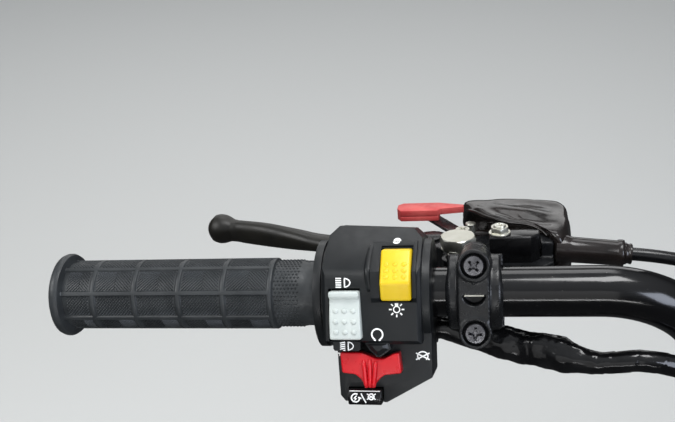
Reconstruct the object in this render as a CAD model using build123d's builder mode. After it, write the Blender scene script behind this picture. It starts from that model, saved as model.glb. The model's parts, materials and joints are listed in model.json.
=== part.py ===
from build123d import *
import os
from math import cos, radians, sin, tan

# Handlebar of a utility quad bike with its hand controls, in millimetres.
# Origin: the tube's axis at the middle of its clamp seat. X to the rider's right, Y forward, Z up.
# The controls are drawn for the left end. Three planes there place them: the lever plane, whose Z is
# the lever pivots' axis, the rider plane, whose Y points away from the rider's eyes, and the clamp
# plane, whose Y runs along the clamp's screws. In all three, X runs along the tube towards the middle, from the centre of the lever's clamp.
# The right end's controls are drawn in the same planes and mirrored about YZ.

# Tube
bar_radius = 11.1
bar_wall = 2.6
seat_half = 60.0
knee_out = 52.0
knee_back = 20.0
knee_rise = 90.0
grip_run = 274.5
sweep_back = 11.3
droop = 6.75
bend_radius = 50.0

# Where the controls sit on it
clamp_to_knee = 85.0
lever_pitch = 16.5
rider_tilt = 21.0
clamp_tilt = 15.0
seat_gap = 0.1
split_gap = 1.0

# Grip, places along X
grip_end = 5.0
grip_flange_radius = 19.5
grip_flange_edge = 1.8
grip_radius = 15.8
grip_groove = 0.8
grip_sleeve_radius = 14.8
grip_inner_end = -68.2
grip_ring_width = 2.2
grip_ring_places = (-173.8, -153.5, -132.3, -111.2, -89.5)
grip_rib_count = 8
grip_rib_width = 2.4
grip_rib_turn = -6.0

# Switch case, places in the rider plane
case_radius = 24.0
case_left = -68.0
case_right = -17.8
collar_width = 3.4
collar_groove = 1.7
collar_groove_depth = 1.5
block_left = -62.9
block_right = -21.0
block_face = 29.0
block_top = 30.4
block_fall = 1.7
block_bottom = -19.2
block_top_depth = 12.0
block_bend_height = 11.5
block_shoulder = 1.0
block_corner = 4.0
block_shoulder_start = 8.0
block_edge = 1.6
pad_left = -41.6
pad_rise = 2.0
pad_low = -1.6
pad_high = 23.5
plate_face = 18.0
plate_back = 8.0
plate_left = -58.6
plate_corner_high = (-57.6, -42.7)
plate_corner = (-55.4, -45.2)
plate_kink = (-37.4, -45.5)
plate_right_low = -34.7
back_top_depth = 9.0
back_slope = 3.0
back_shoulder = 22.0
case_screw_places = ((-27.0, 17.6), (-58.0, 17.6), (-27.0, -17.6), (-58.0, -17.6))
case_screw_radius = 2.0
case_screw_head = 3.6
case_screw_floor = 12.0
case_screw_height = 2.4

# Switches: left, right, low, high in the rider plane
light_rocker_box = (-37.4, -24.6, -0.8, 21.3)
light_well_floor = 17.0
light_crest = (34.2, 5.6)
light_ends = (31.2, 25.6)
dimmer_box = (-59.5, -46.7, -17.4, 4.0)
dimmer_well_floor = 22.0
dimmer_crest = 33.4
dimmer_lip = 2.6
dimmer_dip = 31.0
well_gap = 0.4
paddle_top = -23.0
paddle_low = -31.7
paddle_tongue = -36.9
paddle_left = -56.1
paddle_right = -30.0
paddle_middle = -42.9
paddle_face = 26.0
paddle_back = 19.0
starter_box = (-53.7, -39.2, -46.0, -39.4)
starter_face = 22.5
starter_back = 10.0

# Clamp
clamp_left = -11.9
clamp_right = 12.6
clamp_radius = 16.5
clamp_block_left = -6.5
clamp_block_right = 6.9
clamp_face = 17.5
clamp_edge = 1.6
lobe_radius = 7.0
lobe_proud = 0.6
screw_x = 0.6
screw_height = 14.5
screw_radius = 2.5
screw_gap = 0.05
screw_head_radius = 4.9
screw_head_height = 2.6
screw_sink_radius = 5.4
screw_sink = 2.2
ear_depth = 6.0

# Lever and its ears, in the lever plane
pivot_x = -22.0
pivot_y = 45.0
pin_radius = 3.0
pin_gap = 0.05
hub_radius = 8.5
hub_half = 4.5
hub_gap = 0.15
plate_gap = 0.3
ear_thick = 2.4
ear_radius = 9.5
lever_reach = (
    # x, y, half width
    (-30.0, 46.5, 7.2),
    (-50.0, 51.6, 6.4),
    (-78.5, 59.3, 5.6),
    (-95.0, 64.8, 5.0),
    (-112.0, 70.6, 4.4),
    (-128.0, 73.6, 4.0),
    (-137.0, 75.0, 4.4),
)
lever_side = (
    # x, lowest, highest
    (-20.0, -4.5, 4.0),
    (-52.0, -4.5, 3.2),
    (-78.0, -4.4, 2.2),
    (-95.0, -5.4, 3.9),
    (-112.0, -5.9, 5.4),
    (-130.0, -4.6, 6.2),
    (-150.0, -3.0, 6.2),
)
lever_edge = 1.6
ball_radius = 7.5
ball_x = -139.4
ball_y = 75.4
ball_z = 2.0
bolt_head_radius = 4.8
bolt_head_height = 1.4
nut_flats = 10.0
nut_height = 4.0

# Mirror boss and its bolt
boss_x = -8.7
boss_y = 27.0
boss_radius = 7.4
boss_top = 5.0
mirror_thread_radius = 5.0
mirror_head_flats = 14.0
mirror_head_low = 10.5
mirror_head_high = 15.5

# Left perch plate, cable lug and adjuster
plate_b_low = -5.0
plate_b_high = 2.7
plate_b_end = 39.5
cable_x = 41.1
cable_y = 35.3
cable_z = 4.2
cable_turn = -4.8
cable_drop = 3.5
lug_near = 29.6
lug_far = 35.4
lug_size = 11.6
barrel_radius = 3.6
nozzle_radius = 6.0
nozzle_end = 67.2
nozzle_gap = 0.2
collar_radius = 4.6
collar_length = 3.4

# Brake light switch
switch_left = 6.5
switch_right = 29.2
switch_front = 24.0
switch_back = 33.5
switch_high = 15.5
switch_corner = 4.0
switch_screw_x = 11.2
switch_screw_y = 29.0
switch_screw_flats = 7.2

# Rubber boot over the cable's end
boot_outline = (
    # x, y
    (-6.9, 80.0),
    (40.6, 75.0),
    (44.0, 58.0),
    (42.4, 41.5),
    (38.1, 30.7),
    (29.3, 36.5),
    (11.0, 47.0),
    (-2.0, 62.0),
)
boot_high = 14.0
boot_low = -7.0
boot_wall = 2.0

# Parking lock
lock_x = -6.7
lock_y = 45.1
lock_boss_radius = 4.5
lock_plate_low = 7.3
lock_plate_high = 8.9
lock_cap_high = 14.7
lock_cap_outline = (
    # x, y
    (-40.5, 66.0),
    (-38.5, 62.5),
    (-20.0, 62.5),
    (-17.5, 65.0),
    (-7.0, 67.0),
    (-7.0, 70.0),
    (-20.0, 73.5),
    (-38.0, 73.5),
    (-40.5, 71.0),
)
lock_arm_width = 7.0
lock_arm_end = (-22.0, 68.0)
lock_screw_radius = 2.5
lock_screw_head = 4.0
lock_screw_height = 2.0

# Right end: master cylinder
tank_left = 2.0
tank_right = 44.0
tank_front = 22.0
tank_back = 57.0
tank_low = -6.0
tank_high = 19.0
tank_edge = 3.0
master_lap = 3.0
master_web = 16.0
lid_thick = 3.6
lid_lap = 1.0
lid_edge = 1.0
lid_screw_inset = 6.0
lid_screw_head = 4.2
lid_screw_height = 2.0
lid_screw_sink = 1.6
barrel_x = 52.0
barrel_y = 42.0
barrel_z = -2.0
master_radius = 9.0
port_radius = 4.5
port_depth = 12.0

# Right end: thumb throttle, in the rider plane
throttle_left = -66.0
throttle_right = -32.0
throttle_ring = 17.5
chamber_near = 4.0
chamber_far = 30.0
chamber_low = -24.0
chamber_high = 2.0
chamber_edge = 3.0
cover_thick = 3.0
cover_edge = 0.8
cover_screws = ((-60.0, 23.8), (-38.0, 23.8))
cover_screw_head = 3.2
cover_screw_height = 1.8
thumb_x = -46.0
thumb_y = 22.0
thumb_hub_radius = 8.0
thumb_arm_low = -29.6
thumb_arm_high = -24.4
thumb_arm_end = (-76.0, -25.0)
thumb_pad_outer = -108.0
thumb_pad_low = -40.0
thumb_pad_high = -22.0
thumb_pad_thick = 4.4
thumb_pad_lap = 4.0
thumb_arm_width = 11.0
thumb_screw_head = 5.5
thumb_screw_height = 2.4
thumb_screw_reach = 14.0
inlet_y = 23.0
inlet_z = -12.0
inlet_turn = 7.0
inlet_radius = 6.2
inlet_bore = 3.5
inlet_length = 14.0
inlet_bury = 4.0

# Cords
brake_cable_radius = 3.0
cable_straight = 12.0
coil_radius = 38.5
coil_thick = 10.0
coil_middle = (0.0, 24.0, -36.0)
fitting_behind = 15.6
fitting_low = -50.0
fitting_radius = 5.0
fitting_length = 22.0
wire_radius = 1.6
wire_length = 36.0
eye_radius = 6.0
eye_thick = 4.0
eye_hole = 2.6
tie_width = 12.0
tie_thick = 1.4
tie_gap = 0.3
loom_radius = 5.2
loom_exit_y = 14.3
loom_exit_z = -17.8
loom_boss_radius = 6.6
loom_boss_length = 14.0
connector_width = 22.0
connector_depth = 14.0
connector_edge = 2.0
connector_length = 26.0
strap_width = 9.0
strap_down = 66.0
loom_gap = 1.1

# Directions and planes that these give
low_corner = Vector(-seat_half, 0, 0)
high_corner = low_corner + Vector(-knee_out, -knee_back, knee_rise)
outboard = Vector(
    -cos(radians(droop)) * cos(radians(sweep_back)),
    -cos(radians(droop)) * sin(radians(sweep_back)),
    -sin(radians(droop)),
)
bar_tip = high_corner + outboard * grip_run
clamp_middle = high_corner + outboard * clamp_to_knee
level_forward = Vector(-sin(radians(sweep_back)), cos(radians(sweep_back)), 0)
bar_up = (outboard * -1).cross(level_forward)
lever_forward = level_forward * cos(radians(lever_pitch)) - bar_up * sin(radians(lever_pitch))
lever_up = level_forward * sin(radians(lever_pitch)) + bar_up * cos(radians(lever_pitch))
rider_up = lever_forward * sin(radians(rider_tilt)) + lever_up * cos(radians(rider_tilt))
lever_plane = Plane(origin=clamp_middle, x_dir=outboard * -1, z_dir=lever_up)
rider_plane = Plane(origin=clamp_middle, x_dir=outboard * -1, z_dir=rider_up)
clamp_up = lever_forward * sin(radians(clamp_tilt)) + lever_up * cos(radians(clamp_tilt))
clamp_plane = Plane(origin=clamp_middle, x_dir=outboard * -1, z_dir=clamp_up)
# The clamp plane's upright face, as it stands in the lever plane
face_in_lever = Plane(
    origin=(0, 0, 0),
    x_dir=(1, 0, 0),
    z_dir=(0, -cos(radians(clamp_tilt)), sin(radians(clamp_tilt))),
)
bar_tip_x = clamp_to_knee - grip_run
# A shorter grip carries fewer of the rings
grip_rings = [place for place in grip_ring_places if place > bar_tip_x + 2 * grip_ring_width]
ear_top = hub_half + hub_gap + ear_thick

os.makedirs("parts", exist_ok=True)


def keep(piece, name, plane=Plane.XY, right=False):
    """Set a finished piece in the handlebar's frame, label it and write it."""
    piece.part = piece.part.moved(plane.location)
    if right:
        piece.part = piece.part.mirror(Plane.YZ)
    piece.part.label = name
    export_step(piece.part, f"parts/{name}.step")
    return piece.part


def mirrored(point):
    """A point at the other end of the tube."""
    return Vector(-point.X, point.Y, point.Z)


def box_between(low, high, mode=Mode.ADD):
    """A box from its lowest to its highest corner."""
    size = [b - a for a, b in zip(low, high)]
    with Locations(tuple(low)):
        Box(*size, align=(Align.MIN, Align.MIN, Align.MIN), mode=mode)


def bar_bore(left, right):
    """The hole that the tube goes through."""
    with Locations((left, 0, 0)):
        Cylinder(
            bar_radius + seat_gap,
            right - left,
            rotation=(0, 90, 0),
            align=(Align.CENTER, Align.CENTER, Align.MIN),
            mode=Mode.SUBTRACT,
        )


# Tube
with BuildPart() as handlebar_tube:
    with BuildLine() as tube_run:
        FilletPolyline(
            bar_tip,
            high_corner,
            low_corner,
            mirrored(low_corner),
            mirrored(high_corner),
            mirrored(bar_tip),
            radius=bend_radius,
        )
    with BuildSketch(Plane(origin=bar_tip, z_dir=outboard * -1)):
        Circle(bar_radius)
        Circle(bar_radius - bar_wall, mode=Mode.SUBTRACT)
    sweep(path=tube_run.wire())
keep(handlebar_tube, "handlebar_tube")


# Grips
for side in ("left", "right"):
    outer_x = bar_tip_x - grip_end
    panel_radius = grip_radius - grip_groove
    with BuildPart() as grip:
        with BuildSketch(Plane.XY):
            Polygon(
                (outer_x, 0),
                (outer_x, grip_flange_radius - grip_flange_edge),
                (outer_x + grip_flange_edge, grip_flange_radius),
                (bar_tip_x - grip_flange_edge, grip_flange_radius),
                (bar_tip_x, grip_flange_radius - grip_flange_edge),
                (bar_tip_x, panel_radius),
                (grip_rings[-1], panel_radius),
                (grip_rings[-1], grip_sleeve_radius),
                (grip_inner_end, grip_sleeve_radius),
                (grip_inner_end, bar_radius + seat_gap),
                (bar_tip_x, bar_radius + seat_gap),
                (bar_tip_x, 0),
            )
            for ring_x in grip_rings:
                with Locations((ring_x, grip_radius - grip_groove)):
                    Rectangle(grip_ring_width, 2 * grip_groove)
        revolve(axis=Axis.X)
        with BuildSketch(Plane.YZ.offset(bar_tip_x)):
            with PolarLocations(panel_radius, grip_rib_count, start_angle=grip_rib_turn):
                Rectangle(2 * grip_groove, grip_rib_width)
        extrude(amount=grip_rings[-1] - bar_tip_x)
    keep(grip, f"grip_{side}", rider_plane, right=side == "right")


# Switch case
# The lower plate, which carries the stop switch and the starter button
plate_outline = (
    (plate_left, 0),
    (plate_left, paddle_top),
    plate_corner_high,
    plate_corner,
    plate_kink,
    (case_right, plate_right_low),
    (case_right, 0),
)

# The block's outline from the front
block_outline = (
    (block_left, block_bottom),
    (block_left, block_shoulder_start),
    (block_left + block_shoulder, block_top - block_corner),
    (block_left + block_shoulder + block_corner, block_top),
    (block_right - block_corner, block_top - block_fall),
    (block_right, block_top - block_fall - block_corner),
    (block_right, block_bottom),
)

with BuildPart() as switch_case_front:
    with BuildSketch(Plane.YZ.offset(block_left)):
        Polygon(
            (0, block_bottom),
            (-block_face, block_bottom),
            (-block_face, block_bend_height),
            (-block_top_depth, block_top - 3),
            (-back_top_depth, block_top),
            (0, block_top),
        )
    extrude(amount=block_right - block_left)
    with BuildSketch(Plane.XZ):
        Polygon(*block_outline)
    extrude(amount=block_face, mode=Mode.INTERSECT)
    chamfer(faces().sort_by(Axis.Y)[0].edges(), block_edge)
    with BuildSketch(Plane.YZ.offset(pad_left)):
        Polygon(
            (-light_well_floor, pad_low),
            (-block_face, pad_low),
            (-block_face - pad_rise, pad_low + pad_rise),
            (-block_face - pad_rise, block_bend_height),
            (-light_well_floor - pad_rise, pad_high),
            (-light_well_floor + pad_rise, pad_high),
        )
    extrude(amount=block_right - block_edge - pad_left)
    with BuildSketch(Plane.XZ):
        Polygon(*plate_outline)
    extrude(amount=plate_face)
    with BuildSketch(Plane.YZ.offset(case_left)):
        Circle(case_radius)
        Rectangle(2 * case_radius, 2 * case_radius, align=(Align.MAX, Align.CENTER), mode=Mode.INTERSECT)
    extrude(amount=case_right - case_left)
    with BuildSketch(Plane.YZ.offset(case_left + collar_width)):
        Circle(case_radius + block_face)
        Circle(case_radius - collar_groove_depth, mode=Mode.SUBTRACT)
        Rectangle(2 * case_radius + 2 * block_face, 4 * case_radius, mode=Mode.INTERSECT)
    extrude(amount=collar_groove, mode=Mode.SUBTRACT)
    # The pointer over the stop switch
    with BuildSketch(Plane.XZ.offset(plate_face)):
        Polygon(
            (paddle_middle - 2.1, block_bottom + 1),
            (paddle_middle + 7.9, block_bottom + 1),
            (paddle_middle + 8.9, block_bottom - 2.0),
            (paddle_middle + 4.6, block_bottom - 5.2),
            (paddle_middle + 3.0, block_bottom - 5.2),
            (paddle_middle - 0.1, block_bottom - 2.4),
        )
    extrude(amount=block_face - plate_face - 1)
    # Wells for the rockers and the button, and the tube's hole
    box_between(
        (light_rocker_box[0] - well_gap, -2 * block_face, light_rocker_box[2] - well_gap),
        (light_rocker_box[1] + well_gap, -light_well_floor, light_rocker_box[3] + well_gap),
        mode=Mode.SUBTRACT,
    )
    box_between(
        (dimmer_box[0] - well_gap, -2 * block_face, dimmer_box[2] - well_gap),
        (dimmer_box[1] + well_gap, -dimmer_well_floor, dimmer_box[3] + well_gap),
        mode=Mode.SUBTRACT,
    )
    box_between(
        (starter_box[0] - well_gap, -2 * block_face, starter_box[2] - 5),
        (starter_box[1] + well_gap, -starter_back, starter_box[3] + well_gap),
        mode=Mode.SUBTRACT,
    )
    bar_bore(case_left - 1, case_right + 1)
keep(switch_case_front, "switch_case_front", rider_plane)

with BuildPart() as switch_case_rear:
    with BuildSketch(Plane.YZ.offset(block_left + block_shoulder)):
        Polygon(
            (0, 0),
            (0, block_top),
            (back_top_depth - back_slope, block_top),
            (back_top_depth + back_slope, back_shoulder),
            (back_top_depth, 0),
        )
    extrude(amount=block_right - block_left - block_shoulder)
    with BuildSketch(Plane.XZ):
        Polygon(*block_outline)
    extrude(amount=-back_top_depth - back_slope, mode=Mode.INTERSECT)
    with BuildSketch(Plane.YZ.offset(case_left)):
        Circle(case_radius)
        Rectangle(2 * case_radius, 2 * case_radius, align=(Align.MIN, Align.CENTER), mode=Mode.INTERSECT)
    extrude(amount=case_right - case_left)
    with BuildSketch(Plane.XZ):
        Polygon(*plate_outline)
    extrude(amount=-plate_back)
    with BuildSketch(Plane.YZ.offset(case_left + collar_width)):
        Circle(2 * case_radius)
        Circle(case_radius - collar_groove_depth, mode=Mode.SUBTRACT)
    extrude(amount=collar_groove, mode=Mode.SUBTRACT)
    # The loom's outlet
    with BuildSketch(Plane.YZ.offset(case_right - loom_boss_length)):
        with Locations((loom_exit_y, loom_exit_z)):
            Circle(loom_boss_radius)
    extrude(amount=loom_boss_length)
    for place_x, place_z in case_screw_places:
        with Locations(Location((place_x, case_screw_floor, place_z), (-90, 0, 0))):
            Hole(case_screw_radius + screw_gap, depth=case_screw_floor)
            Cylinder(
                case_screw_head + well_gap,
                case_radius,
                align=(Align.CENTER, Align.CENTER, Align.MIN),
                mode=Mode.SUBTRACT,
            )
    bar_bore(case_left - 1, case_right + 1)
keep(switch_case_rear, "switch_case_rear", rider_plane)

with BuildPart() as switch_case_screws:
    for place_x, place_z in case_screw_places:
        with Locations(Location((place_x, case_screw_floor, place_z), (-90, 0, 0))):
            Cylinder(case_screw_head, case_screw_height, align=(Align.CENTER, Align.CENTER, Align.MIN))
            Cylinder(case_screw_radius, case_screw_floor, align=(Align.CENTER, Align.CENTER, Align.MAX))
keep(switch_case_screws, "switch_case_screws", rider_plane)


# Switches
with BuildPart() as light_rocker:
    with BuildSketch(Plane.YZ.offset(light_rocker_box[0])):
        Polygon(
            (-light_well_floor, light_rocker_box[2]),
            (-light_ends[0], light_rocker_box[2]),
            (-light_crest[0], light_crest[1]),
            (-light_ends[1], light_rocker_box[3]),
            (-light_well_floor, light_rocker_box[3]),
        )
    extrude(amount=light_rocker_box[1] - light_rocker_box[0])
    fillet(edges().filter_by(Axis.X).sort_by(Axis.Y)[0], 3.0)
    chamfer(faces().sort_by(Axis.X)[-1].edges().filter_by(Axis.Y, reverse=True).sort_by(Axis.Y)[:2], 0.5)
keep(light_rocker, "light_rocker", rider_plane)

with BuildPart() as dimmer_rocker:
    with BuildSketch(Plane.YZ.offset(dimmer_box[0])):
        Polygon(
            (-dimmer_well_floor, dimmer_box[2]),
            (-dimmer_crest, dimmer_box[2]),
            (-dimmer_dip, (dimmer_box[2] + dimmer_box[3]) / 2),
            (-dimmer_dip, dimmer_box[3] - 2 * dimmer_lip),
            (-dimmer_dip - dimmer_lip, dimmer_box[3] - dimmer_lip),
            (-dimmer_dip - dimmer_lip, dimmer_box[3]),
            (-dimmer_well_floor, dimmer_box[3]),
        )
    extrude(amount=dimmer_box[1] - dimmer_box[0])
keep(dimmer_rocker, "dimmer_rocker", rider_plane)

with BuildPart() as stop_switch:
    with BuildSketch(Plane.XZ.offset(paddle_back)):
        Polygon(
            (paddle_left, paddle_top),
            (paddle_middle - 5.0, paddle_top),
            (paddle_middle - 1.6, paddle_top - 1.0),
            (paddle_middle + 2.4, paddle_top - 2.6),
            (paddle_middle + 5.2, paddle_top - 2.6),
            (paddle_middle + 9.9, paddle_top - 0.5),
            (paddle_right, paddle_top),
            (paddle_right + 0.4, paddle_low),
            (paddle_middle + 4.4, paddle_low - 1.4),
            (paddle_middle + 1.2, paddle_tongue),
            (paddle_middle - 2.8, paddle_tongue),
            (paddle_middle - 6.1, paddle_low - 0.8),
            (paddle_left + 0.7, paddle_low),
        )
    extrude(amount=paddle_face - paddle_back)
    box_between(
        (paddle_middle - 4, -paddle_back, paddle_low + 1),
        (paddle_middle + 4, -plate_face, paddle_top - 6),
    )
keep(stop_switch, "stop_switch", rider_plane)

with BuildPart() as starter_button:
    box_between(
        (starter_box[0], -starter_face, starter_box[2]),
        (starter_box[1], -starter_back, starter_box[3]),
    )
    chamfer(faces().sort_by(Axis.Y)[0].edges(), 0.8)
keep(starter_button, "starter_button", rider_plane)


# Clamps, the same at both ends
for side in ("left", "right"):
    lobe_face = clamp_face + lobe_proud
    with BuildPart() as clamp_cap:
        with BuildSketch(Plane.YZ.offset(clamp_left)):
            Circle(clamp_radius)
        extrude(amount=clamp_right - clamp_left)
        chamfer(edges().filter_by(GeomType.CIRCLE), clamp_edge)
        box_between(
            (clamp_block_left, -clamp_face, -screw_height),
            (clamp_block_right, 0, screw_height),
        )
        with BuildSketch(Plane.XZ):
            with Locations((screw_x, screw_height), (screw_x, -screw_height)):
                Circle(lobe_radius)
        extrude(amount=lobe_face)
        bar_bore(clamp_left - 1, clamp_right + 1)
        with Locations(
            Location((screw_x, -lobe_face, screw_height), (90, 0, 0)),
            Location((screw_x, -lobe_face, -screw_height), (90, 0, 0)),
        ):
            CounterBoreHole(screw_radius + screw_gap, screw_sink_radius, screw_sink)
        split(bisect_by=Plane.XZ.offset(split_gap / 2), keep=Keep.TOP)
    keep(clamp_cap, f"clamp_cap_{side}", clamp_plane, right=side == "right")

    with BuildPart() as clamp_screws:
        for height in (screw_height, -screw_height):
            with Locations(Location((screw_x, -lobe_face + screw_sink, height), (90, 0, 0))):
                Cylinder(screw_head_radius, screw_head_height, align=(Align.CENTER, Align.CENTER, Align.MIN))
                Cylinder(
                    screw_radius,
                    lobe_face - screw_sink + ear_depth - 1,
                    align=(Align.CENTER, Align.CENTER, Align.MAX),
                )
    keep(clamp_screws, f"clamp_screws_{side}", clamp_plane, right=side == "right")


# Perches
def perch_clamp_and_ears():
    """The far half of a clamp, with the ears that hold a lever and the boss for a mirror."""
    slot_half = hub_half + hub_gap
    with BuildSketch(Plane.YZ.offset(clamp_left)) as ring:
        Circle(clamp_radius)
    extrude(ring.sketch, amount=clamp_right - clamp_left)
    with BuildSketch(face_in_lever) as lobes:
        with Locations((screw_x, screw_height), (screw_x, -screw_height)):
            Circle(lobe_radius)
    extrude(lobes.sketch, amount=-ear_depth)
    split(bisect_by=face_in_lever.offset(-split_gap / 2), keep=Keep.BOTTOM)
    with BuildSketch(Plane.XY.offset(-ear_top)) as arm:
        Polygon(
            (clamp_left, clamp_radius - 4),
            (clamp_left - 0.6, boss_y + 1.0),
            (pivot_x - ear_radius, pivot_y),
            (pivot_x, pivot_y + ear_radius),
            (pivot_x + ear_radius, pivot_y),
            (boss_x + boss_radius, boss_y),
            (clamp_right - 4, clamp_radius - 4),
        )
        with Locations((pivot_x, pivot_y)):
            Circle(ear_radius)
        with Locations((boss_x, boss_y)):
            Circle(boss_radius)
    extrude(arm.sketch, amount=2 * ear_top)
    # The lever's slot: round its hub, and open outwards and forwards
    with BuildSketch(Plane.XY.offset(-slot_half)) as slot:
        with Locations((pivot_x, pivot_y)):
            Circle(hub_radius + 1)
        Polygon(
            (pivot_x, pivot_y + hub_radius + 1),
            (pivot_x + 2, pivot_y - hub_radius - 1),
            (pivot_x - 40, pivot_y - 34),
            (pivot_x - 60, pivot_y + 40),
        )
    extrude(slot.sketch, amount=2 * slot_half, mode=Mode.SUBTRACT)
    bar_bore(clamp_left - 1, clamp_right + 1)
    with BuildSketch(face_in_lever) as screw_holes:
        with Locations((screw_x, screw_height), (screw_x, -screw_height)):
            Circle(screw_radius + screw_gap)
    extrude(screw_holes.sketch, amount=-ear_depth - 3, mode=Mode.SUBTRACT)
    with Locations((boss_x, boss_y, boss_top)):
        Cylinder(
            boss_radius + 0.6,
            ear_top,
            align=(Align.CENTER, Align.CENTER, Align.MIN),
            mode=Mode.SUBTRACT,
        )


def perch_holes():
    """The holes for the mirror bolt and the lever's pin."""
    with Locations((boss_x, boss_y, 0)):
        Cylinder(mirror_thread_radius + screw_gap, 4 * ear_top, mode=Mode.SUBTRACT)
    with Locations((pivot_x, pivot_y, 0)):
        Cylinder(pin_radius + pin_gap, 4 * ear_top, mode=Mode.SUBTRACT)


cable_line = Plane(
    origin=(cable_x, cable_y, cable_z),
    z_dir=(cos(radians(cable_turn)), sin(radians(cable_turn)), -sin(radians(cable_drop))),
)

with BuildPart() as brake_perch_left:
    perch_clamp_and_ears()
    with BuildSketch(Plane.XY.offset(plate_b_low)):
        Polygon(
            (-6, 14),
            (lug_near, 19),
            (lug_far, 25),
            (lug_far, 38),
            (plate_b_end, 44),
            (plate_b_end, 56),
            (0, 58),
            (-6, 50),
        )
    extrude(amount=plate_b_high - plate_b_low)
    with BuildSketch(Plane.XY.offset(plate_b_low)):
        with Locations((lock_x, lock_y)):
            Circle(lock_boss_radius)
    extrude(amount=ear_top - plate_b_low)
    box_between(
        (lug_near, cable_y - lug_size / 2 + 0.7, plate_b_low),
        (lug_far, cable_y + lug_size / 2 + 0.7, cable_z + lug_size / 2),
    )
    with BuildSketch(cable_line):
        Circle(barrel_radius + screw_gap)
    extrude(amount=-2 * (lug_far - lug_near), mode=Mode.SUBTRACT)
    bar_bore(clamp_left - 1, plate_b_end)
    perch_holes()
    with Locations((lock_x, lock_y, 0)):
        Cylinder(lock_screw_radius + screw_gap, 4 * ear_top, mode=Mode.SUBTRACT)
keep(brake_perch_left, "brake_perch_left", lever_plane)


# Levers, their bolts and the mirror bolts, the same at both ends
def lever_edges():
    """Points along the two long edges of the lever's blade, from above."""
    near_side = []
    far_side = []
    for place, (x, y, half) in enumerate(lever_reach):
        before = lever_reach[max(place - 1, 0)]
        after = lever_reach[min(place + 1, len(lever_reach) - 1)]
        along = Vector(after[0] - before[0], after[1] - before[1]).normalized()
        across = Vector(-along.Y, along.X)
        near_side.append(Vector(x, y) + across * half)
        far_side.append(Vector(x, y) - across * half)
    return near_side, far_side


for side in ("left", "right"):
    is_right = side == "right"
    with BuildPart() as brake_lever:
        with BuildSketch(Plane.XY):
            with BuildLine():
                near_edge = Spline(*lever_edges()[0])
                far_edge = Spline(*lever_edges()[1])
                Line(near_edge @ 0, far_edge @ 0)
                Line(near_edge @ 1, far_edge @ 1)
            make_face()
        extrude(amount=2 * hub_radius, both=True)
        with BuildSketch(Plane.XZ):
            with BuildLine():
                low_edge = Spline(*[(x, lowest) for x, lowest, highest in lever_side])
                high_edge = Spline(*[(x, highest) for x, lowest, highest in lever_side])
                Line(low_edge @ 0, high_edge @ 0)
                Line(low_edge @ 1, high_edge @ 1)
            make_face()
        extrude(amount=-2 * ball_y, mode=Mode.INTERSECT)
        chamfer(edges().filter_by(Axis.Z, reverse=True).filter_by(Axis.Y, reverse=True), lever_edge)
        with Locations((ball_x, ball_y, ball_z)):
            Sphere(ball_radius, rotation=(0, 0, 180))
        with Locations((pivot_x, pivot_y, 0)):
            Cylinder(hub_radius, 2 * hub_half)
            Cylinder(pin_radius + pin_gap, 4 * hub_half, mode=Mode.SUBTRACT)
    keep(brake_lever, f"brake_lever_{side}", lever_plane, right=is_right)

    with BuildPart() as pivot_bolt:
        with Locations((pivot_x, pivot_y, ear_top)):
            Cylinder(bolt_head_radius, bolt_head_height, align=(Align.CENTER, Align.CENTER, Align.MIN))
            Cylinder(pin_radius, 2 * ear_top + nut_height, align=(Align.CENTER, Align.CENTER, Align.MAX))
        with BuildSketch(Plane.XY.offset(-ear_top)):
            with Locations((pivot_x, pivot_y)):
                RegularPolygon(nut_flats / 2, 6, major_radius=False)
        extrude(amount=-nut_height)
    keep(pivot_bolt, f"lever_bolt_{side}", lever_plane, right=is_right)

    with BuildPart() as mirror_bolt:
        with Locations((boss_x, boss_y, mirror_head_low)):
            Cylinder(
                mirror_thread_radius,
                mirror_head_low + ear_top,
                align=(Align.CENTER, Align.CENTER, Align.MAX),
            )
        with BuildSketch(Plane.XY.offset(mirror_head_low)):
            with Locations((boss_x, boss_y)):
                RegularPolygon(mirror_head_flats / 2, 6, major_radius=False)
        extrude(amount=mirror_head_high - mirror_head_low)
    keep(mirror_bolt, f"mirror_bolt_{side}", lever_plane, right=is_right)


# Parking lock
with BuildPart() as lock_arm:
    arm_run = Vector(lock_arm_end) - Vector(lock_x, lock_y)
    arm_turn = arm_run.get_signed_angle(Vector(1, 0), Vector(0, 0, -1))
    with BuildSketch(Plane.XY.offset(lock_plate_low)):
        with Locations((lock_x, lock_y)):
            Circle(lock_boss_radius + 0.5)
        with Locations(Location((lock_x, lock_y, 0), (0, 0, arm_turn))):
            Rectangle(arm_run.length, lock_arm_width, align=(Align.MIN, Align.CENTER))
        with Locations(lock_arm_end):
            Circle(lock_arm_width / 2)
        with Locations((lock_x, lock_y)):
            Circle(lock_screw_radius + pin_gap, mode=Mode.SUBTRACT)
    extrude(amount=lock_plate_high - lock_plate_low)
keep(lock_arm, "lock_arm", lever_plane)

with BuildPart() as lock_cap:
    with BuildSketch(Plane.XY.offset(lock_plate_high)):
        Polygon(*lock_cap_outline)
        fillet(vertices(), 0.8)
    extrude(amount=lock_cap_high - lock_plate_high)
    chamfer(faces().sort_by(Axis.Z)[-1].edges(), 0.5)
keep(lock_cap, "lock_cap", lever_plane)

with BuildPart() as lock_screw:
    head_seat = lock_plate_high + plate_gap
    with Locations((lock_x, lock_y, head_seat)):
        Cylinder(lock_screw_head, lock_screw_height, align=(Align.CENTER, Align.CENTER, Align.MIN))
        Cylinder(
            lock_screw_radius,
            head_seat - plate_b_low,
            align=(Align.CENTER, Align.CENTER, Align.MAX),
        )
keep(lock_screw, "lock_screw", lever_plane)


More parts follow.
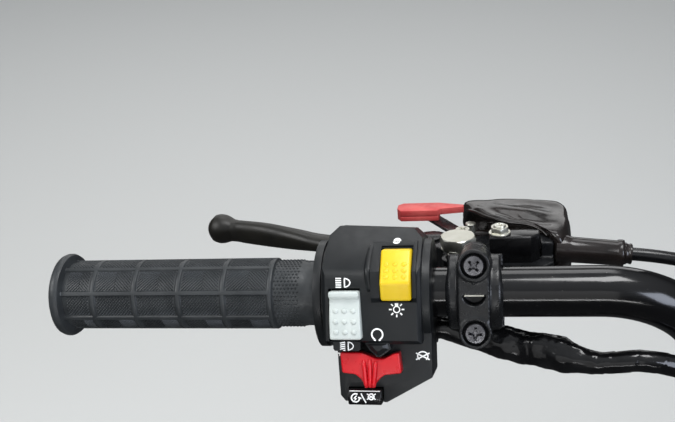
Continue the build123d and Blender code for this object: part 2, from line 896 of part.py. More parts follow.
# Brake light switch and its screw
with BuildPart() as brake_light_switch:
    with BuildSketch(Plane.XY.offset(plate_b_high)):
        Polygon(
            (switch_left, switch_front),
            (switch_right - switch_corner, switch_front),
            (switch_right, switch_front + switch_corner),
            (switch_right, switch_back),
            (switch_left, switch_back),
        )
    extrude(amount=switch_high - plate_b_high)
    chamfer(faces().sort_by(Axis.Z)[-1].edges(), 0.6)
    with Locations((switch_screw_x, switch_screw_y, 0)):
        Cylinder(screw_radius + screw_gap, 4 * switch_high, mode=Mode.SUBTRACT)
keep(brake_light_switch, "brake_light_switch", lever_plane)

with BuildPart() as light_switch_screw:
    with BuildSketch(Plane.XY.offset(switch_high)):
        with Locations((switch_screw_x, switch_screw_y)):
            RegularPolygon(switch_screw_flats / 2, 6, major_radius=False)
    extrude(amount=screw_head_height)
    with Locations((switch_screw_x, switch_screw_y, switch_high)):
        Cylinder(screw_radius, switch_high - plate_b_high, align=(Align.CENTER, Align.CENTER, Align.MAX))
keep(light_switch_screw, "light_switch_screw", lever_plane)


# Rubber boot, cable adjuster
nozzle_run = (nozzle_end - cable_x) / cos(radians(cable_turn))
with BuildPart() as lever_boot:
    with BuildSketch(Plane.XY.offset(boot_low)):
        Polygon(*boot_outline)
    extrude(amount=boot_high - boot_low)
    chamfer(faces().sort_by(Axis.Z)[-1].edges(), boot_wall)
    with BuildSketch(cable_line.offset(-boot_wall)):
        Circle(nozzle_radius)
    extrude(amount=nozzle_run + boot_wall)
    with BuildSketch(Plane.XY.offset(boot_low)):
        Polygon(*boot_outline)
        offset(amount=-boot_wall, kind=Kind.INTERSECTION, mode=Mode.REPLACE)
        # The mouth: the wall between the back left corner and the front right one is open
        Polygon(
            (-4.5, 77.5),
            (8.0, 60.0),
            (36.0, 35.0),
            (35.5, 29.0),
            (20.0, 25.0),
            (-20.0, 60.0),
        )
    extrude(amount=boot_high - boot_wall - boot_low, mode=Mode.SUBTRACT)
    with BuildSketch(cable_line.offset(-nozzle_run)):
        Circle(barrel_radius + nozzle_gap)
    extrude(amount=2 * nozzle_run + 1, mode=Mode.SUBTRACT)
keep(lever_boot, "lever_boot", lever_plane)

with BuildPart() as cable_adjuster:
    barrel_back = (cable_x - lug_near) / cos(radians(cable_turn))
    with BuildSketch(cable_line.offset(-barrel_back)):
        Circle(barrel_radius)
    extrude(amount=barrel_back + nozzle_run)
    with BuildSketch(cable_line.offset(nozzle_run)):
        Circle(collar_radius)
    extrude(amount=collar_length)
keep(cable_adjuster, "cable_adjuster", lever_plane)


# Right perch: the master cylinder with its tank
with BuildPart() as master_cylinder:
    perch_clamp_and_ears()
    with BuildSketch(Plane.XY.offset(tank_low)):
        with Locations(((tank_left + tank_right) / 2, (tank_front + tank_back) / 2)):
            RectangleRounded(tank_right - tank_left, tank_back - tank_front, tank_edge)
    extrude(amount=tank_high - tank_low)
    with Locations(Location((barrel_x, barrel_y, barrel_z), (0, -90, 0))):
        Cylinder(master_radius, barrel_x - tank_left, align=(Align.CENTER, Align.CENTER, Align.MIN))
    box_between(
        (boss_x, clamp_radius - master_lap, tank_low),
        (tank_right - master_web, tank_front + master_lap, boss_top - 1),
    )
    box_between(
        (boss_x, boss_y, tank_low),
        (tank_left + master_lap, barrel_y, boss_top - 1),
    )
    bar_bore(clamp_left - 1, barrel_x)
    perch_holes()
    with Locations(Location((barrel_x, barrel_y, barrel_z), (0, -90, 0))):
        Cylinder(port_radius, port_depth, align=(Align.CENTER, Align.CENTER, Align.MIN), mode=Mode.SUBTRACT)
keep(master_cylinder, "master_cylinder", lever_plane, right=True)

lid_screws = (
    (tank_left + lid_screw_inset, (tank_front + tank_back) / 2),
    (tank_right - lid_screw_inset, (tank_front + tank_back) / 2),
)
with BuildPart() as reservoir_lid:
    box_between(
        (tank_left - lid_lap, tank_front - lid_lap, tank_high),
        (tank_right + lid_lap, tank_back + lid_lap, tank_high + lid_thick),
    )
    fillet(edges().filter_by(Axis.Z), tank_edge)
    chamfer(faces().sort_by(Axis.Z)[-1].edges(), lid_edge)
    with Locations(*[(x, y, tank_high + lid_thick) for x, y in lid_screws]):
        CounterBoreHole(screw_radius + screw_gap, lid_screw_head + screw_gap, lid_screw_sink)
keep(reservoir_lid, "reservoir_lid", lever_plane, right=True)

with BuildPart() as reservoir_screws:
    for x, y in lid_screws:
        with Locations((x, y, tank_high)):
            Cylinder(screw_radius, lid_thick, align=(Align.CENTER, Align.CENTER, Align.MIN))
        with Locations((x, y, tank_high + lid_thick - lid_screw_sink)):
            Cylinder(lid_screw_head, lid_screw_height, align=(Align.CENTER, Align.CENTER, Align.MIN))
keep(reservoir_screws, "reservoir_screws", lever_plane, right=True)


# Thumb throttle
inlet_line = Plane(
    origin=(throttle_right, inlet_y, inlet_z),
    z_dir=(cos(radians(inlet_turn)), sin(radians(inlet_turn)), 0),
)

with BuildPart() as throttle_case:
    box_between(
        (throttle_left, chamber_near, chamber_low),
        (throttle_right, chamber_far, chamber_high),
    )
    fillet(edges().filter_by(Axis.Z), chamber_edge)
    with BuildSketch(Plane.YZ.offset(throttle_left)):
        Circle(throttle_ring)
    extrude(amount=throttle_right - throttle_left)
    with BuildSketch(inlet_line.offset(-inlet_bury)):
        Circle(inlet_radius)
    extrude(amount=inlet_bury + inlet_length)
    bar_bore(throttle_left - 1, throttle_right + 1)
    with BuildSketch(inlet_line.offset(-inlet_bury)):
        Circle(inlet_bore)
    extrude(amount=inlet_bury + inlet_length + 1, mode=Mode.SUBTRACT)
    with Locations((thumb_x, thumb_y, chamber_low)):
        Cylinder(pin_radius + pin_gap, 2 * thumb_screw_reach, mode=Mode.SUBTRACT)
keep(throttle_case, "throttle_case", rider_plane, right=True)

with BuildPart() as throttle_cover:
    box_between(
        (throttle_left, throttle_ring, chamber_high),
        (throttle_right, chamber_far, chamber_high + cover_thick),
    )
    fillet(edges().filter_by(Axis.Z), chamber_edge)
    chamfer(faces().sort_by(Axis.Z)[-1].edges(), cover_edge)
keep(throttle_cover, "throttle_cover", rider_plane, right=True)

with BuildPart() as throttle_screws:
    with Locations(*[(x, y, chamber_high + cover_thick) for x, y in cover_screws]):
        Cylinder(cover_screw_head, cover_screw_height, align=(Align.CENTER, Align.CENTER, Align.MIN))
keep(throttle_screws, "throttle_screws", rider_plane, right=True)

with BuildPart() as thumb_lever:
    thumb_run = Vector(thumb_arm_end) - Vector(thumb_x, thumb_y)
    thumb_turn = thumb_run.get_signed_angle(Vector(1, 0), Vector(0, 0, -1))
    with BuildSketch(Plane.XY.offset(thumb_arm_low)):
        with Locations((thumb_x, thumb_y)):
            Circle(thumb_hub_radius)
        with Locations(Location((thumb_x, thumb_y, 0), (0, 0, thumb_turn))):
            Rectangle(thumb_run.length, thumb_arm_width, align=(Align.MIN, Align.CENTER))
        with Locations(thumb_arm_end):
            Circle(thumb_arm_width / 2)
    extrude(amount=thumb_arm_high - thumb_arm_low)
    box_between(
        (thumb_pad_outer, thumb_arm_end[1] - thumb_pad_thick, thumb_pad_low),
        (thumb_arm_end[0] + thumb_pad_lap, thumb_arm_end[1], thumb_pad_high),
    )
    with Locations((thumb_x, thumb_y, thumb_arm_low)):
        Cylinder(pin_radius + pin_gap, 2 * thumb_screw_reach, mode=Mode.SUBTRACT)
keep(thumb_lever, "thumb_lever", rider_plane, right=True)

with BuildPart() as thumb_lever_screw:
    with Locations((thumb_x, thumb_y, thumb_arm_low - plate_gap)):
        Cylinder(thumb_screw_head, thumb_screw_height, align=(Align.CENTER, Align.CENTER, Align.MAX))
        Cylinder(pin_radius, thumb_screw_reach, align=(Align.CENTER, Align.CENTER, Align.MIN))
keep(thumb_lever_screw, "thumb_lever_screw", rider_plane, right=True)


# Cords
def cord_radii(route, share=0.45):
    """The largest arc at each corner of a route: a share of the shorter run over tan(half the turn)."""
    radii = []
    for before, corner, after in zip(route, route[1:], route[2:]):
        turn = (corner - before).get_angle(after - corner)
        shorter = min((corner - before).length, (after - corner).length)
        radii.append(share * shorter / tan(radians(turn / 2)))
    return radii


def on_rider_plane(x, y, z):
    """A point given in the left rider plane, in the handlebar's frame."""
    return rider_plane.from_local_coords(Vector(x, y, z))


nozzle_mouth = cable_line.origin + cable_line.z_dir * (nozzle_run + collar_length)
cable_exit = lever_plane.from_local_coords(nozzle_mouth)
brake_cable_route = [
    cable_exit,
    lever_plane.from_local_coords(nozzle_mouth + cable_line.z_dir * cable_straight),
    Vector(-100.0, 13.4, 79.5),
    Vector(-84.6, 16.0, 69.4),
    Vector(-72.8, 18.3, 55.6),
    Vector(-63.8, 20.1, 40.2),
    Vector(-56.6, 21.6, 25.2),
    Vector(-51.6, 22.7, 6.2),
    Vector(-47.5, 23.5, -13.0),
]
with BuildPart() as brake_cable:
    with BuildLine() as cable_run:
        FilletPolyline(*brake_cable_route, radius=cord_radii(brake_cable_route))
    with BuildSketch(Plane(origin=cable_exit, z_dir=brake_cable_route[1] - cable_exit)):
        Circle(brake_cable_radius)
    sweep(path=cable_run.wire())
keep(brake_cable, "brake_cable")

with BuildPart() as brake_cable_coil:
    with Locations(Location(coil_middle, (90, 0, 0))):
        Torus(coil_radius, coil_thick)
keep(brake_cable_coil, "brake_cable_coil")


def band_round(plane, held_radius, held_middle, width):
    """A strap round the tube, at the plane's origin, and round what it holds beside it."""
    with BuildSketch(plane) as band:
        for growth, mode in ((tie_thick, Mode.ADD), (0.0, Mode.SUBTRACT)):
            rounds = (
                Edge.make_circle(bar_radius + tie_gap + growth),
                Edge.make_circle(held_radius + growth, Plane(origin=(held_middle.X, held_middle.Y, 0))),
            )
            make_hull(rounds, mode=mode)
    extrude(band.sketch, amount=width)


with BuildPart() as coil_tie:
    coil_top = Vector(coil_middle[1], coil_middle[2] + coil_radius)
    band_round(Plane.YZ.offset(-tie_width / 2), coil_thick + 3 * tie_gap, coil_top, tie_width)
keep(coil_tie, "coil_tie")

with BuildPart() as cable_fitting:
    with Locations((coil_middle[0] + coil_radius, coil_middle[1] + fitting_behind, fitting_low)):
        Cylinder(fitting_radius, fitting_length, align=(Align.CENTER, Align.CENTER, Align.MIN))
        Cylinder(wire_radius, wire_length, align=(Align.CENTER, Align.CENTER, Align.MIN))
        with Locations((0, 0, wire_length)):
            Cylinder(eye_radius, eye_thick, rotation=(90, 0, 0))
            Cylinder(eye_hole, 2 * eye_thick, rotation=(90, 0, 0), mode=Mode.SUBTRACT)
keep(cable_fitting, "cable_fitting")

# Below the knee the loom lies along the tube, on the side towards the rider
knee_down = (low_corner - high_corner).normalized()
loom_side = (knee_down * knee_down.Y - Vector(0, 1, 0)).normalized()
loom_off = bar_radius + loom_radius + loom_gap
loom_exit = on_rider_plane(case_right, loom_exit_y, loom_exit_z)
loom_route = [
    loom_exit,
    on_rider_plane(-1.0, loom_exit_y, loom_exit_z),
    on_rider_plane(16.0, 12.2, -20.6),
    on_rider_plane(34.0, 7.6, -26.6),
    on_rider_plane(54.0, 3.2, -31.0),
    Vector(-124.5, -40.8, 62.2),
    Vector(-113.2, -38.5, 61.2),
    Vector(-102.6, -34.8, 58.0),
    Vector(-93.3, -30.8, 52.0),
    *(high_corner + knee_down * down + loom_side * loom_off for down in (54.0, 78.0)),
    Vector(-63.0, -19.4, -0.8),
    Vector(-60.7, -19.5, -20.2),
    Vector(-60.5, -20.0, -40.0),
]
with BuildPart() as wiring_loom:
    with BuildLine() as loom_run:
        FilletPolyline(*loom_route, radius=cord_radii(loom_route))
    with BuildSketch(Plane(origin=loom_exit, z_dir=loom_route[1] - loom_exit)):
        Circle(loom_radius)
    sweep(path=loom_run.wire())
keep(wiring_loom, "wiring_loom")

strap_plane = Plane(origin=high_corner + knee_down * strap_down, z_dir=knee_down)
with BuildPart() as loom_strap:
    held = strap_plane.to_local_coords(strap_plane.origin + loom_side * loom_off)
    band_round(strap_plane.offset(-strap_width / 2), loom_radius + tie_gap, held, strap_width)
keep(loom_strap, "loom_strap")

with BuildPart() as loom_connector:
    with BuildSketch(Plane(origin=loom_route[-1], z_dir=loom_route[-1] - loom_route[-2])):
        RectangleRounded(connector_width, connector_depth, connector_edge)
    extrude(amount=connector_length)
keep(loom_connector, "loom_connector")

print("cable arcs", [round(r, 1) for r in cord_radii(brake_cable_route)], cable_run.wire().length)
print("loom arcs", [round(r, 1) for r in cord_radii(loom_route)], loom_run.wire().length)
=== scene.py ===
import bmesh
import bpy
import json
from math import acos, ceil, copysign, cos, degrees, exp, pi, radians, sin, sqrt, tan
from mathutils import Matrix, Vector, noise as blotch
from mathutils.bvhtree import BVHTree


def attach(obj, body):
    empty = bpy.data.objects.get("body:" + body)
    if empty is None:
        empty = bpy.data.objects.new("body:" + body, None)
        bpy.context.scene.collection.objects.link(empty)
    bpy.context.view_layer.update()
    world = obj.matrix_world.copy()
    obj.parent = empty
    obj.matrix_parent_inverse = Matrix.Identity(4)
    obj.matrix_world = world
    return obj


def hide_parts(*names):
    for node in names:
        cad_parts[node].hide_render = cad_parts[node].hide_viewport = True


# Handlebar of a utility quad bike, dressed for the render.
# Row frame: X to the rider's right, Y forward, Z up, in metres. Sizes below are millimetres.
MM = 0.001

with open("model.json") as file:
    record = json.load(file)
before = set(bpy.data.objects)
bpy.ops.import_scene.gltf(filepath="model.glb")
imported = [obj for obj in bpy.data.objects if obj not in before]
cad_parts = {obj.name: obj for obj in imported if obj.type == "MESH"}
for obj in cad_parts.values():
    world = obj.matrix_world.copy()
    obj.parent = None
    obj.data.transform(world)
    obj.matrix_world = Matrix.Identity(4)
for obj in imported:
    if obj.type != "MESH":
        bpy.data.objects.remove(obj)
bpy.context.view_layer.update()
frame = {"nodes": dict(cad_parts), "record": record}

# Tube, as the source gives it
bar_radius = 11.1
seat_half = 60.0
knee_out = 52.0
knee_back = 20.0
knee_rise = 90.0
grip_run = 274.5
sweep_back = radians(11.3)
droop = radians(6.75)
bend_radius = 50.0
clamp_to_knee = 85.0
lever_pitch = radians(16.5)
rider_tilt = radians(21.0)
clamp_tilt = radians(15.0)

low_corner = Vector((-seat_half, 0, 0))
high_corner = low_corner + Vector((-knee_out, -knee_back, knee_rise))
outboard = Vector((-cos(droop) * cos(sweep_back), -cos(droop) * sin(sweep_back), -sin(droop)))
bar_tip = high_corner + outboard * grip_run
clamp_middle = high_corner + outboard * clamp_to_knee


# Frames that the pieces are made in: millimetres there, metres in the row

def frame_of(origin, x_dir, z_dir):
    """The matrix from a local frame in millimetres to the row frame in metres."""
    x_dir = x_dir.normalized()
    z_dir = z_dir.normalized()
    turn = Matrix((x_dir, z_dir.cross(x_dir), z_dir)).transposed().to_4x4()
    return Matrix.Translation(origin * MM) @ turn @ Matrix.Scale(MM, 4)


level_forward = Vector((-sin(sweep_back), cos(sweep_back), 0))
bar_up = (-outboard).cross(level_forward)
lever_forward = level_forward * cos(lever_pitch) - bar_up * sin(lever_pitch)
lever_up = level_forward * sin(lever_pitch) + bar_up * cos(lever_pitch)
rider_up = lever_forward * sin(rider_tilt) + lever_up * cos(rider_tilt)
clamp_up = lever_forward * sin(clamp_tilt) + lever_up * cos(clamp_tilt)

ROW = Matrix.Scale(MM, 4)
LEVER, RIDER, CLAMP = (frame_of(clamp_middle, -outboard, up) for up in (lever_up, rider_up, clamp_up))
MIRROR = Matrix.Scale(-1, 4, (1, 0, 0))
RIGHT_LEVER = MIRROR @ LEVER
RIGHT_RIDER = MIRROR @ RIDER
SIDES = {"left": Matrix.Identity(4), "right": MIRROR}
ACROSS = Vector((1, 0, 0))
FORWARD = Vector((0, 1, 0))
UP = Vector((0, 0, 1))


# Shapes. Each is made in a new mesh, or added to bm.

def loft(rings, bm=None, caps=True):
    """Faces between rings of points that all have the same count."""
    bm = bmesh.new() if bm is None else bm
    rows = [[bm.verts.new(point) for point in ring] for ring in rings]
    for row, following in zip(rows, rows[1:]):
        for place in range(len(row)):
            after = (place + 1) % len(row)
            bm.faces.new((row[place], row[after], following[after], following[place]))
    if caps:
        bm.faces.new(reversed(rows[0]))
        bm.faces.new(rows[-1])
    return bm


def circle(middle, axis, radius, sides, start=UP):
    """Points of a circle about an axis."""
    axis = Vector(axis).normalized()
    start = (start - axis * start.dot(axis)).normalized()
    across = axis.cross(start)
    turns = [2 * pi * step / sides for step in range(sides)]
    return [Vector(middle) + (start * cos(turn) + across * sin(turn)) * radius for turn in turns]


def lathe(profile, origin=(0, 0, 0), axis=UP, sides=48, bm=None, hollow=False):
    """A turned shape: profile is (place along the axis, radius), from end to end or round a hollow ring."""
    origin = Vector(origin)
    axis = Vector(axis).normalized()
    start = UP if abs(axis.z) < 0.9 else ACROSS
    rings = [
        circle(origin + axis * along, axis, max(radius, 0.01), sides, start) for along, radius in profile
    ]
    return loft(rings + rings[:1] * hollow, bm, caps=not hollow)


def oblong(left, low, right, high):
    """The corners of an oblong."""
    return [(left, low), (right, low), (right, high), (left, high)]


def prism(outline, low, high, plane="XY", bm=None):
    """An outline drawn out from low to high, across the plane that it is drawn in."""
    order = {"XY": (0, 1, 2), "XZ": (0, 2, 1), "YZ": (2, 0, 1)}[plane]
    return loft(
        [[Vector([(a, b, level)[part] for part in order]) for a, b in outline] for level in (low, high)], bm
    )


def rounded_route(points, radius):
    """A run of straights with round bends, as close points."""
    route = [points[0]]
    for before, corner, after in zip(points, points[1:], points[2:]):
        into = (corner - before).normalized()
        out = (after - corner).normalized()
        turn = acos(max(-1, min(1, into.dot(out))))
        middle = corner + (out - into).normalized() * radius / cos(turn / 2)
        first = corner - into * radius * tan(turn / 2) - middle
        axis = into.cross(out).normalized()
        steps = max(4, int(degrees(turn) / 3))
        route += [middle + Matrix.Rotation(turn * share, 3, axis) @ first for share in shares(steps)]
    return route + [points[-1]]


def tube(route, radius, sides=48, outline=None, side=None, bm=None):
    """A tube along close points; outline(distance, turn) gives its own offsets sideways and over."""
    side = side or (route[1] - route[0]).normalized().orthogonal()
    rings = []
    distance = 0.0
    for place, point in enumerate(route):
        before = route[max(place - 1, 0)]
        after = route[min(place + 1, len(route) - 1)]
        along = (after - before).normalized()
        side = (side - along * side.dot(along)).normalized()
        over = along.cross(side)
        distance += (point - before).length
        ring = []
        for step in range(sides):
            turn = 2 * pi * step / sides
            a, b = outline(distance, turn) if outline else (radius * cos(turn), radius * sin(turn))
            ring.append(point + side * a + over * b)
        rings.append(ring)
    return loft(rings, bm)


def shares(steps):
    """Even shares from nought to one."""
    return [step / steps for step in range(steps + 1)]


def smooth_run(points, steps, closed=False):
    """A smooth run through points of any number of values each."""
    count = len(points)
    run = []
    for place in range(count if closed else count - 1):
        near = [place + offset for offset in (-1, 0, 1, 2)]
        a, b, c, d = (points[spot % count if closed else min(max(spot, 0), count - 1)] for spot in near)
        for t in shares(steps)[:-1]:
            run.append([
                0.5 * (
                    2 * q + (r - p) * t + (2 * p - 5 * q + 4 * r - s) * t ** 2 + (3 * q - p - 3 * r + s) * t ** 3
                )
                for p, q, r, s in zip(a, b, c, d)
            ])
    return run if closed else run + [list(points[-1])]


def ramp(value, low, high):
    """Nought below low, one above high, and a soft slope between."""
    share = min(max((value - low) / (high - low), 0), 1)
    return share * share * (3 - 2 * share)


# From a shape to an object

def add_object(name, data):
    """A new object in the scene."""
    thing = bpy.data.objects.new(name, data)
    bpy.context.scene.collection.objects.link(thing)
    return thing


def mesh_object(bm, name):
    """An object from a mesh in the making, as it is."""
    mesh = bpy.data.meshes.new(name)
    bm.to_mesh(mesh)
    bm.free()
    return add_object(name, mesh)


def to_object(bm, name="shape", local=Matrix.Identity(4)):
    """An object from a shape that was made in a local frame, with its faces outwards."""
    bmesh.ops.remove_doubles(bm, verts=bm.verts, dist=1e-4)
    bm.transform(local)
    bmesh.ops.recalc_face_normals(bm, faces=bm.faces)
    return mesh_object(bm, name)


def taken_over(*things):
    """A shape in the making from objects, which are dropped."""
    bm = bmesh.new()
    for thing in things:
        bm.from_mesh(thing.data)
        bpy.data.objects.remove(thing)
    return bm


def copy_of(node):
    """A merged copy of a CAD node, to round or cut."""
    bm = bmesh.new()
    bm.from_mesh(frame["nodes"][node].data)
    bmesh.ops.remove_doubles(bm, verts=bm.verts, dist=2e-6)
    bmesh.ops.dissolve_limit(bm, angle_limit=radians(1.0), verts=bm.verts, edges=bm.edges, delimit={"NORMAL"})
    return mesh_object(bm, node + "_shape")


def settle(thing):
    """Turn an object's modifiers into its plain mesh."""
    graph = bpy.context.evaluated_depsgraph_get()
    mesh = bpy.data.meshes.new_from_object(thing.evaluated_get(graph))
    thing.modifiers.clear()
    thing.data = mesh
    return thing


def modify(thing, kind, **settings):
    """Add a modifier with its settings."""
    modifier = thing.modifiers.new(kind.lower(), kind)
    for name, value in settings.items():
        setattr(modifier, name, value)
    return modifier


def ease_edges(thing, width, segments=3, angle=28, unit=MM):
    """Round the edges that are sharper than an angle."""
    modify(
        thing, "BEVEL", width=width * unit, segments=segments, limit_method="ANGLE",
        angle_limit=radians(angle)
    )
    return settle(thing)


def cut_out(thing, *cutters):
    """Take other objects' shapes out of this one."""
    for cutter in cutters:
        modify(thing, "BOOLEAN", operation="DIFFERENCE", solver="EXACT", object=cutter)
    settle(thing)
    for cutter in cutters:
        bpy.data.objects.remove(cutter)
    return thing


def cast_round(thing, voxel, passes):
    """Soften every edge and corner as on a die casting: an even mesh, then smoothed."""
    modify(thing, "REMESH", mode="VOXEL", voxel_size=voxel * MM)
    modify(thing, "SMOOTH", factor=0.5, iterations=passes)
    return settle(thing)


# Nodes

def linear(hex_colour):
    """An sRGB hex colour as linear numbers."""
    parts = [int(hex_colour[place:place + 2], 16) / 255 for place in (1, 3, 5)]
    return (*[part / 12.92 if part <= 0.04045 else ((part + 0.055) / 1.055) ** 2.4 for part in parts], 1.0)


def add_node(tree, kind, values=(), links=(), **settings):
    """Add a node with its settings, its sockets' values and its links."""
    node = tree.nodes.new(kind)
    for name, value in settings.items():
        setattr(node, name, value)
    for socket, value in values:
        node.inputs[socket].default_value = value
    for socket, source in links:
        tree.links.new(source, node.inputs[socket])
    return node


def copies_tree():
    """Geometry Nodes that set a shape at each point, turned and sized by the point's own values."""
    tree = bpy.data.node_groups.new("copies_at_points", "GeometryNodeTree")
    for name, way, kind in (
        ("Points", "INPUT", "Geometry"), ("Shape", "INPUT", "Object"), ("Set", "OUTPUT", "Geometry")
    ):
        tree.interface.new_socket(name, in_out=way, socket_type="NodeSocket" + kind)
    given = add_node(tree, "NodeGroupInput").outputs
    shape = add_node(tree, "GeometryNodeObjectInfo", links=[("Object", given["Shape"])])
    turn, stretch = (
        add_node(tree, "GeometryNodeInputNamedAttribute", [("Name", name)], data_type="FLOAT_VECTOR")
        for name in ("turn", "stretch")
    )
    placed = add_node(
        tree,
        "GeometryNodeInstanceOnPoints",
        links=[
            ("Points", given["Points"]),
            ("Instance", shape.outputs["Geometry"]),
            ("Rotation", turn.outputs["Attribute"]),
            ("Scale", stretch.outputs["Attribute"]),
        ],
    )
    plain = add_node(tree, "GeometryNodeRealizeInstances", links=[("Geometry", placed.outputs["Instances"])])
    add_node(tree, "NodeGroupOutput", links=[("Set", plain.outputs["Geometry"])])
    return tree


COPIES = copies_tree()


def standing(position, upward, along=ACROSS, stretch=(1, 1, 1)):
    """A place for a copy: where it stands, which way its Z and its X point, and its size."""
    upward = Vector(upward).normalized()
    along = Vector(along)
    along = (along - upward * along.dot(upward)).normalized()
    turn = Matrix((along, upward.cross(along), upward)).transposed().to_euler()
    return Vector(position), turn, Vector(stretch)


def add_copies(bm, shape, places):
    """Add a copy of an object at each place to a shape in the making, and drop the object."""
    points = bpy.data.meshes.new("places")
    points.from_pydata([place[0] for place in places], [], [])
    for part, name in ((1, "turn"), (2, "stretch")):
        attribute = points.attributes.new(name, "FLOAT_VECTOR", "POINT")
        for entry, place in zip(attribute.data, places):
            entry.vector = tuple(place[part])
    holder = add_object("places", points)
    copies = modify(holder, "NODES", node_group=COPIES)
    socket = next(socket for socket in COPIES.interface.items_tree if socket.name == "Shape")
    copies[socket.identifier] = shape
    settle(holder)
    bm.from_mesh(holder.data)
    for spent in (holder, shape):
        bpy.data.objects.remove(spent)


# Materials, with their patterns in millimetres

def new_material(name, hex_colour, roughness, **constants):
    """A material's tree and shader, and its object coordinates in millimetres."""
    material = bpy.data.materials.new(name)
    material.use_nodes = True
    tree = material.node_tree
    shader = tree.nodes["Principled BSDF"]
    shader.inputs["Base Color"].default_value = linear(hex_colour)
    shader.inputs["Roughness"].default_value = roughness
    for socket, value in constants.items():
        shader.inputs[socket.replace("_", " ")].default_value = value
    place = add_node(tree, "ShaderNodeTexCoord").outputs["Object"]
    scaled = add_node(tree, "ShaderNodeVectorMath", [(1, (1000,) * 3)], [(0, place)], operation="MULTIPLY")
    return material, tree, shader, scaled.outputs["Vector"]


def noise(tree, place, size_mm, detail=2.0):
    """Noise whose blotches are about size_mm across."""
    values = [("Scale", 1 / size_mm), ("Detail", detail)]
    return add_node(tree, "ShaderNodeTexNoise", values, [("Vector", place)]).outputs["Fac"]


def spread(tree, source, low, high, from_low=0.35, from_high=0.65):
    """A pattern's middle range as numbers from low to high."""
    values = [("From Min", from_low), ("From Max", from_high), ("To Min", low), ("To Max", high)]
    return add_node(tree, "ShaderNodeMapRange", values, [("Value", source)]).outputs["Result"]


def tint(tree, shader, source, hex_low, hex_high):
    """Colour a surface between two hex colours by a pattern."""
    mix = add_node(
        tree, "ShaderNodeMix", [(6, linear(hex_low)), (7, linear(hex_high))], [(0, source)],
        data_type="RGBA"
    )
    tree.links.new(mix.outputs[2], shader.inputs["Base Color"])


def roughen(tree, shader, source, low, high):
    """Vary a surface's roughness by a pattern."""
    tree.links.new(spread(tree, source, low, high), shader.inputs["Roughness"])


def bump(tree, shader, source, depth_mm):
    """Raise a surface by a pattern."""
    node = add_node(
        tree, "ShaderNodeBump", [("Distance", depth_mm * MM), ("Strength", 1.0)], [("Height", source)]
    )
    tree.links.new(node.outputs["Normal"], shader.inputs["Normal"])


def enamel():
    """Stove enamel on the steel tube: deep black gloss, faintly wavy, with dust specks."""
    material, tree, shader, place = new_material("stove_enamel", "#060606", 0.12, Coat_Weight=0.2)
    specks = spread(tree, noise(tree, place, 0.9, 4.0), 0.0, 1.0, 0.74, 0.77)
    tint(tree, shader, specks, "#060607", "#6e6c68")
    roughen(tree, shader, noise(tree, place, 14.0, 3.0), 0.10, 0.18)
    bump(tree, shader, noise(tree, place, 6.0), 0.05)
    return material


def finish(name, hex_low, hex_high, rough_low, rough_high, blotch_mm, grain_mm, grain_depth, **constants):
    """A finish with blotches of colour, uneven gloss and a fine grain."""
    material, tree, shader, place = new_material(name, hex_low, rough_low, **constants)
    tint(tree, shader, spread(tree, noise(tree, place, blotch_mm, 3.0), 0.0, 1.0), hex_low, hex_high)
    roughen(tree, shader, noise(tree, place, blotch_mm / 3, 3.0), rough_low, rough_high)
    bump(tree, shader, noise(tree, place, grain_mm), grain_depth)
    return material


SLOTS = {
    "bar_enamel": enamel(),
    # Moulded thermoplastic rubber: charcoal with a soft sheen
    "grip_rubber": finish("moulded_grip_rubber", "#242729", "#2f3234", 0.36, 0.5, 9.0, 0.5, 0.03),
    # Glass-filled nylon from a spark-eroded mould: a fine even grain that dulls the gloss
    "case_plastic": finish("textured_nylon", "#0c0f11", "#121517", 0.36, 0.46, 12.0, 0.35, 0.03),
    "dark_screw": finish("dark_chrome", "#6c6c70", "#88888c", 0.24, 0.36, 4.0, 0.5, 0.004, Metallic=1.0),
    "amber_plastic": finish("yellow_acetal", "#d6b314", "#dcbd22", 0.28, 0.38, 8.0, 0.6, 0.01),
    "white_plastic": finish("white_acetal", "#b3bbb8", "#bdc4c1", 0.28, 0.38, 8.0, 0.6, 0.01),
    "red_plastic": finish("red_acetal", "#b70f1a", "#c2141f", 0.26, 0.36, 8.0, 0.6, 0.01),
    "black_gloss_plastic": finish("gloss_black_nylon", "#0a0a0b", "#0d0d0e", 0.16, 0.24, 8.0, 0.6, 0.01),
    # Die-cast aluminium under satin black paint
    "cast_black": finish("painted_die_casting", "#0e0f10", "#161719", 0.24, 0.38, 9.0, 0.8, 0.05),
    "lever_black": finish("satin_black_lever", "#11100d", "#1a1813", 0.36, 0.46, 16.0, 1.2, 0.02),
    # Bright zinc on steel: pale, slightly warm, unevenly dull
    "zinc_steel": finish("bright_zinc", "#cfcec2", "#dbdad0", 0.34, 0.44, 9.0, 0.5, 0.003, Metallic=1.0),
    "lock_red": finish("faded_red_enamel", "#b23a3a", "#c65450", 0.34, 0.5, 10.0, 0.8, 0.02),
    "boot_rubber": finish("gloss_moulded_rubber", "#171413", "#221d1b", 0.14, 0.24, 10.0, 6.0, 0.06),
    "cable_sheath": finish("extruded_sheath", "#0c0c0d", "#121213", 0.2, 0.3, 12.0, 9.0, 0.02),
    "loom_sleeve": finish("shrunk_sleeve", "#09090a", "#111112", 0.08, 0.18, 9.0, 5.0, 0.12),
}
# White pad-printed ink, thin and dull
PRINT_INK = finish("printed_ink", "#eceeec", "#f4f5f4", 0.5, 0.6, 2.0, 0.3, 0.01)
SIGHT_GLASS = finish("sight_glass", "#2a2410", "#3a3216", 0.05, 0.12, 4.0, 1.0, 0.005, Coat_Weight=1.0)

for entry in frame["record"]["subparts"]:
    materials = frame["nodes"][entry["node"]].data.materials
    materials.clear()
    materials.append(SLOTS[entry["material_slot"]])


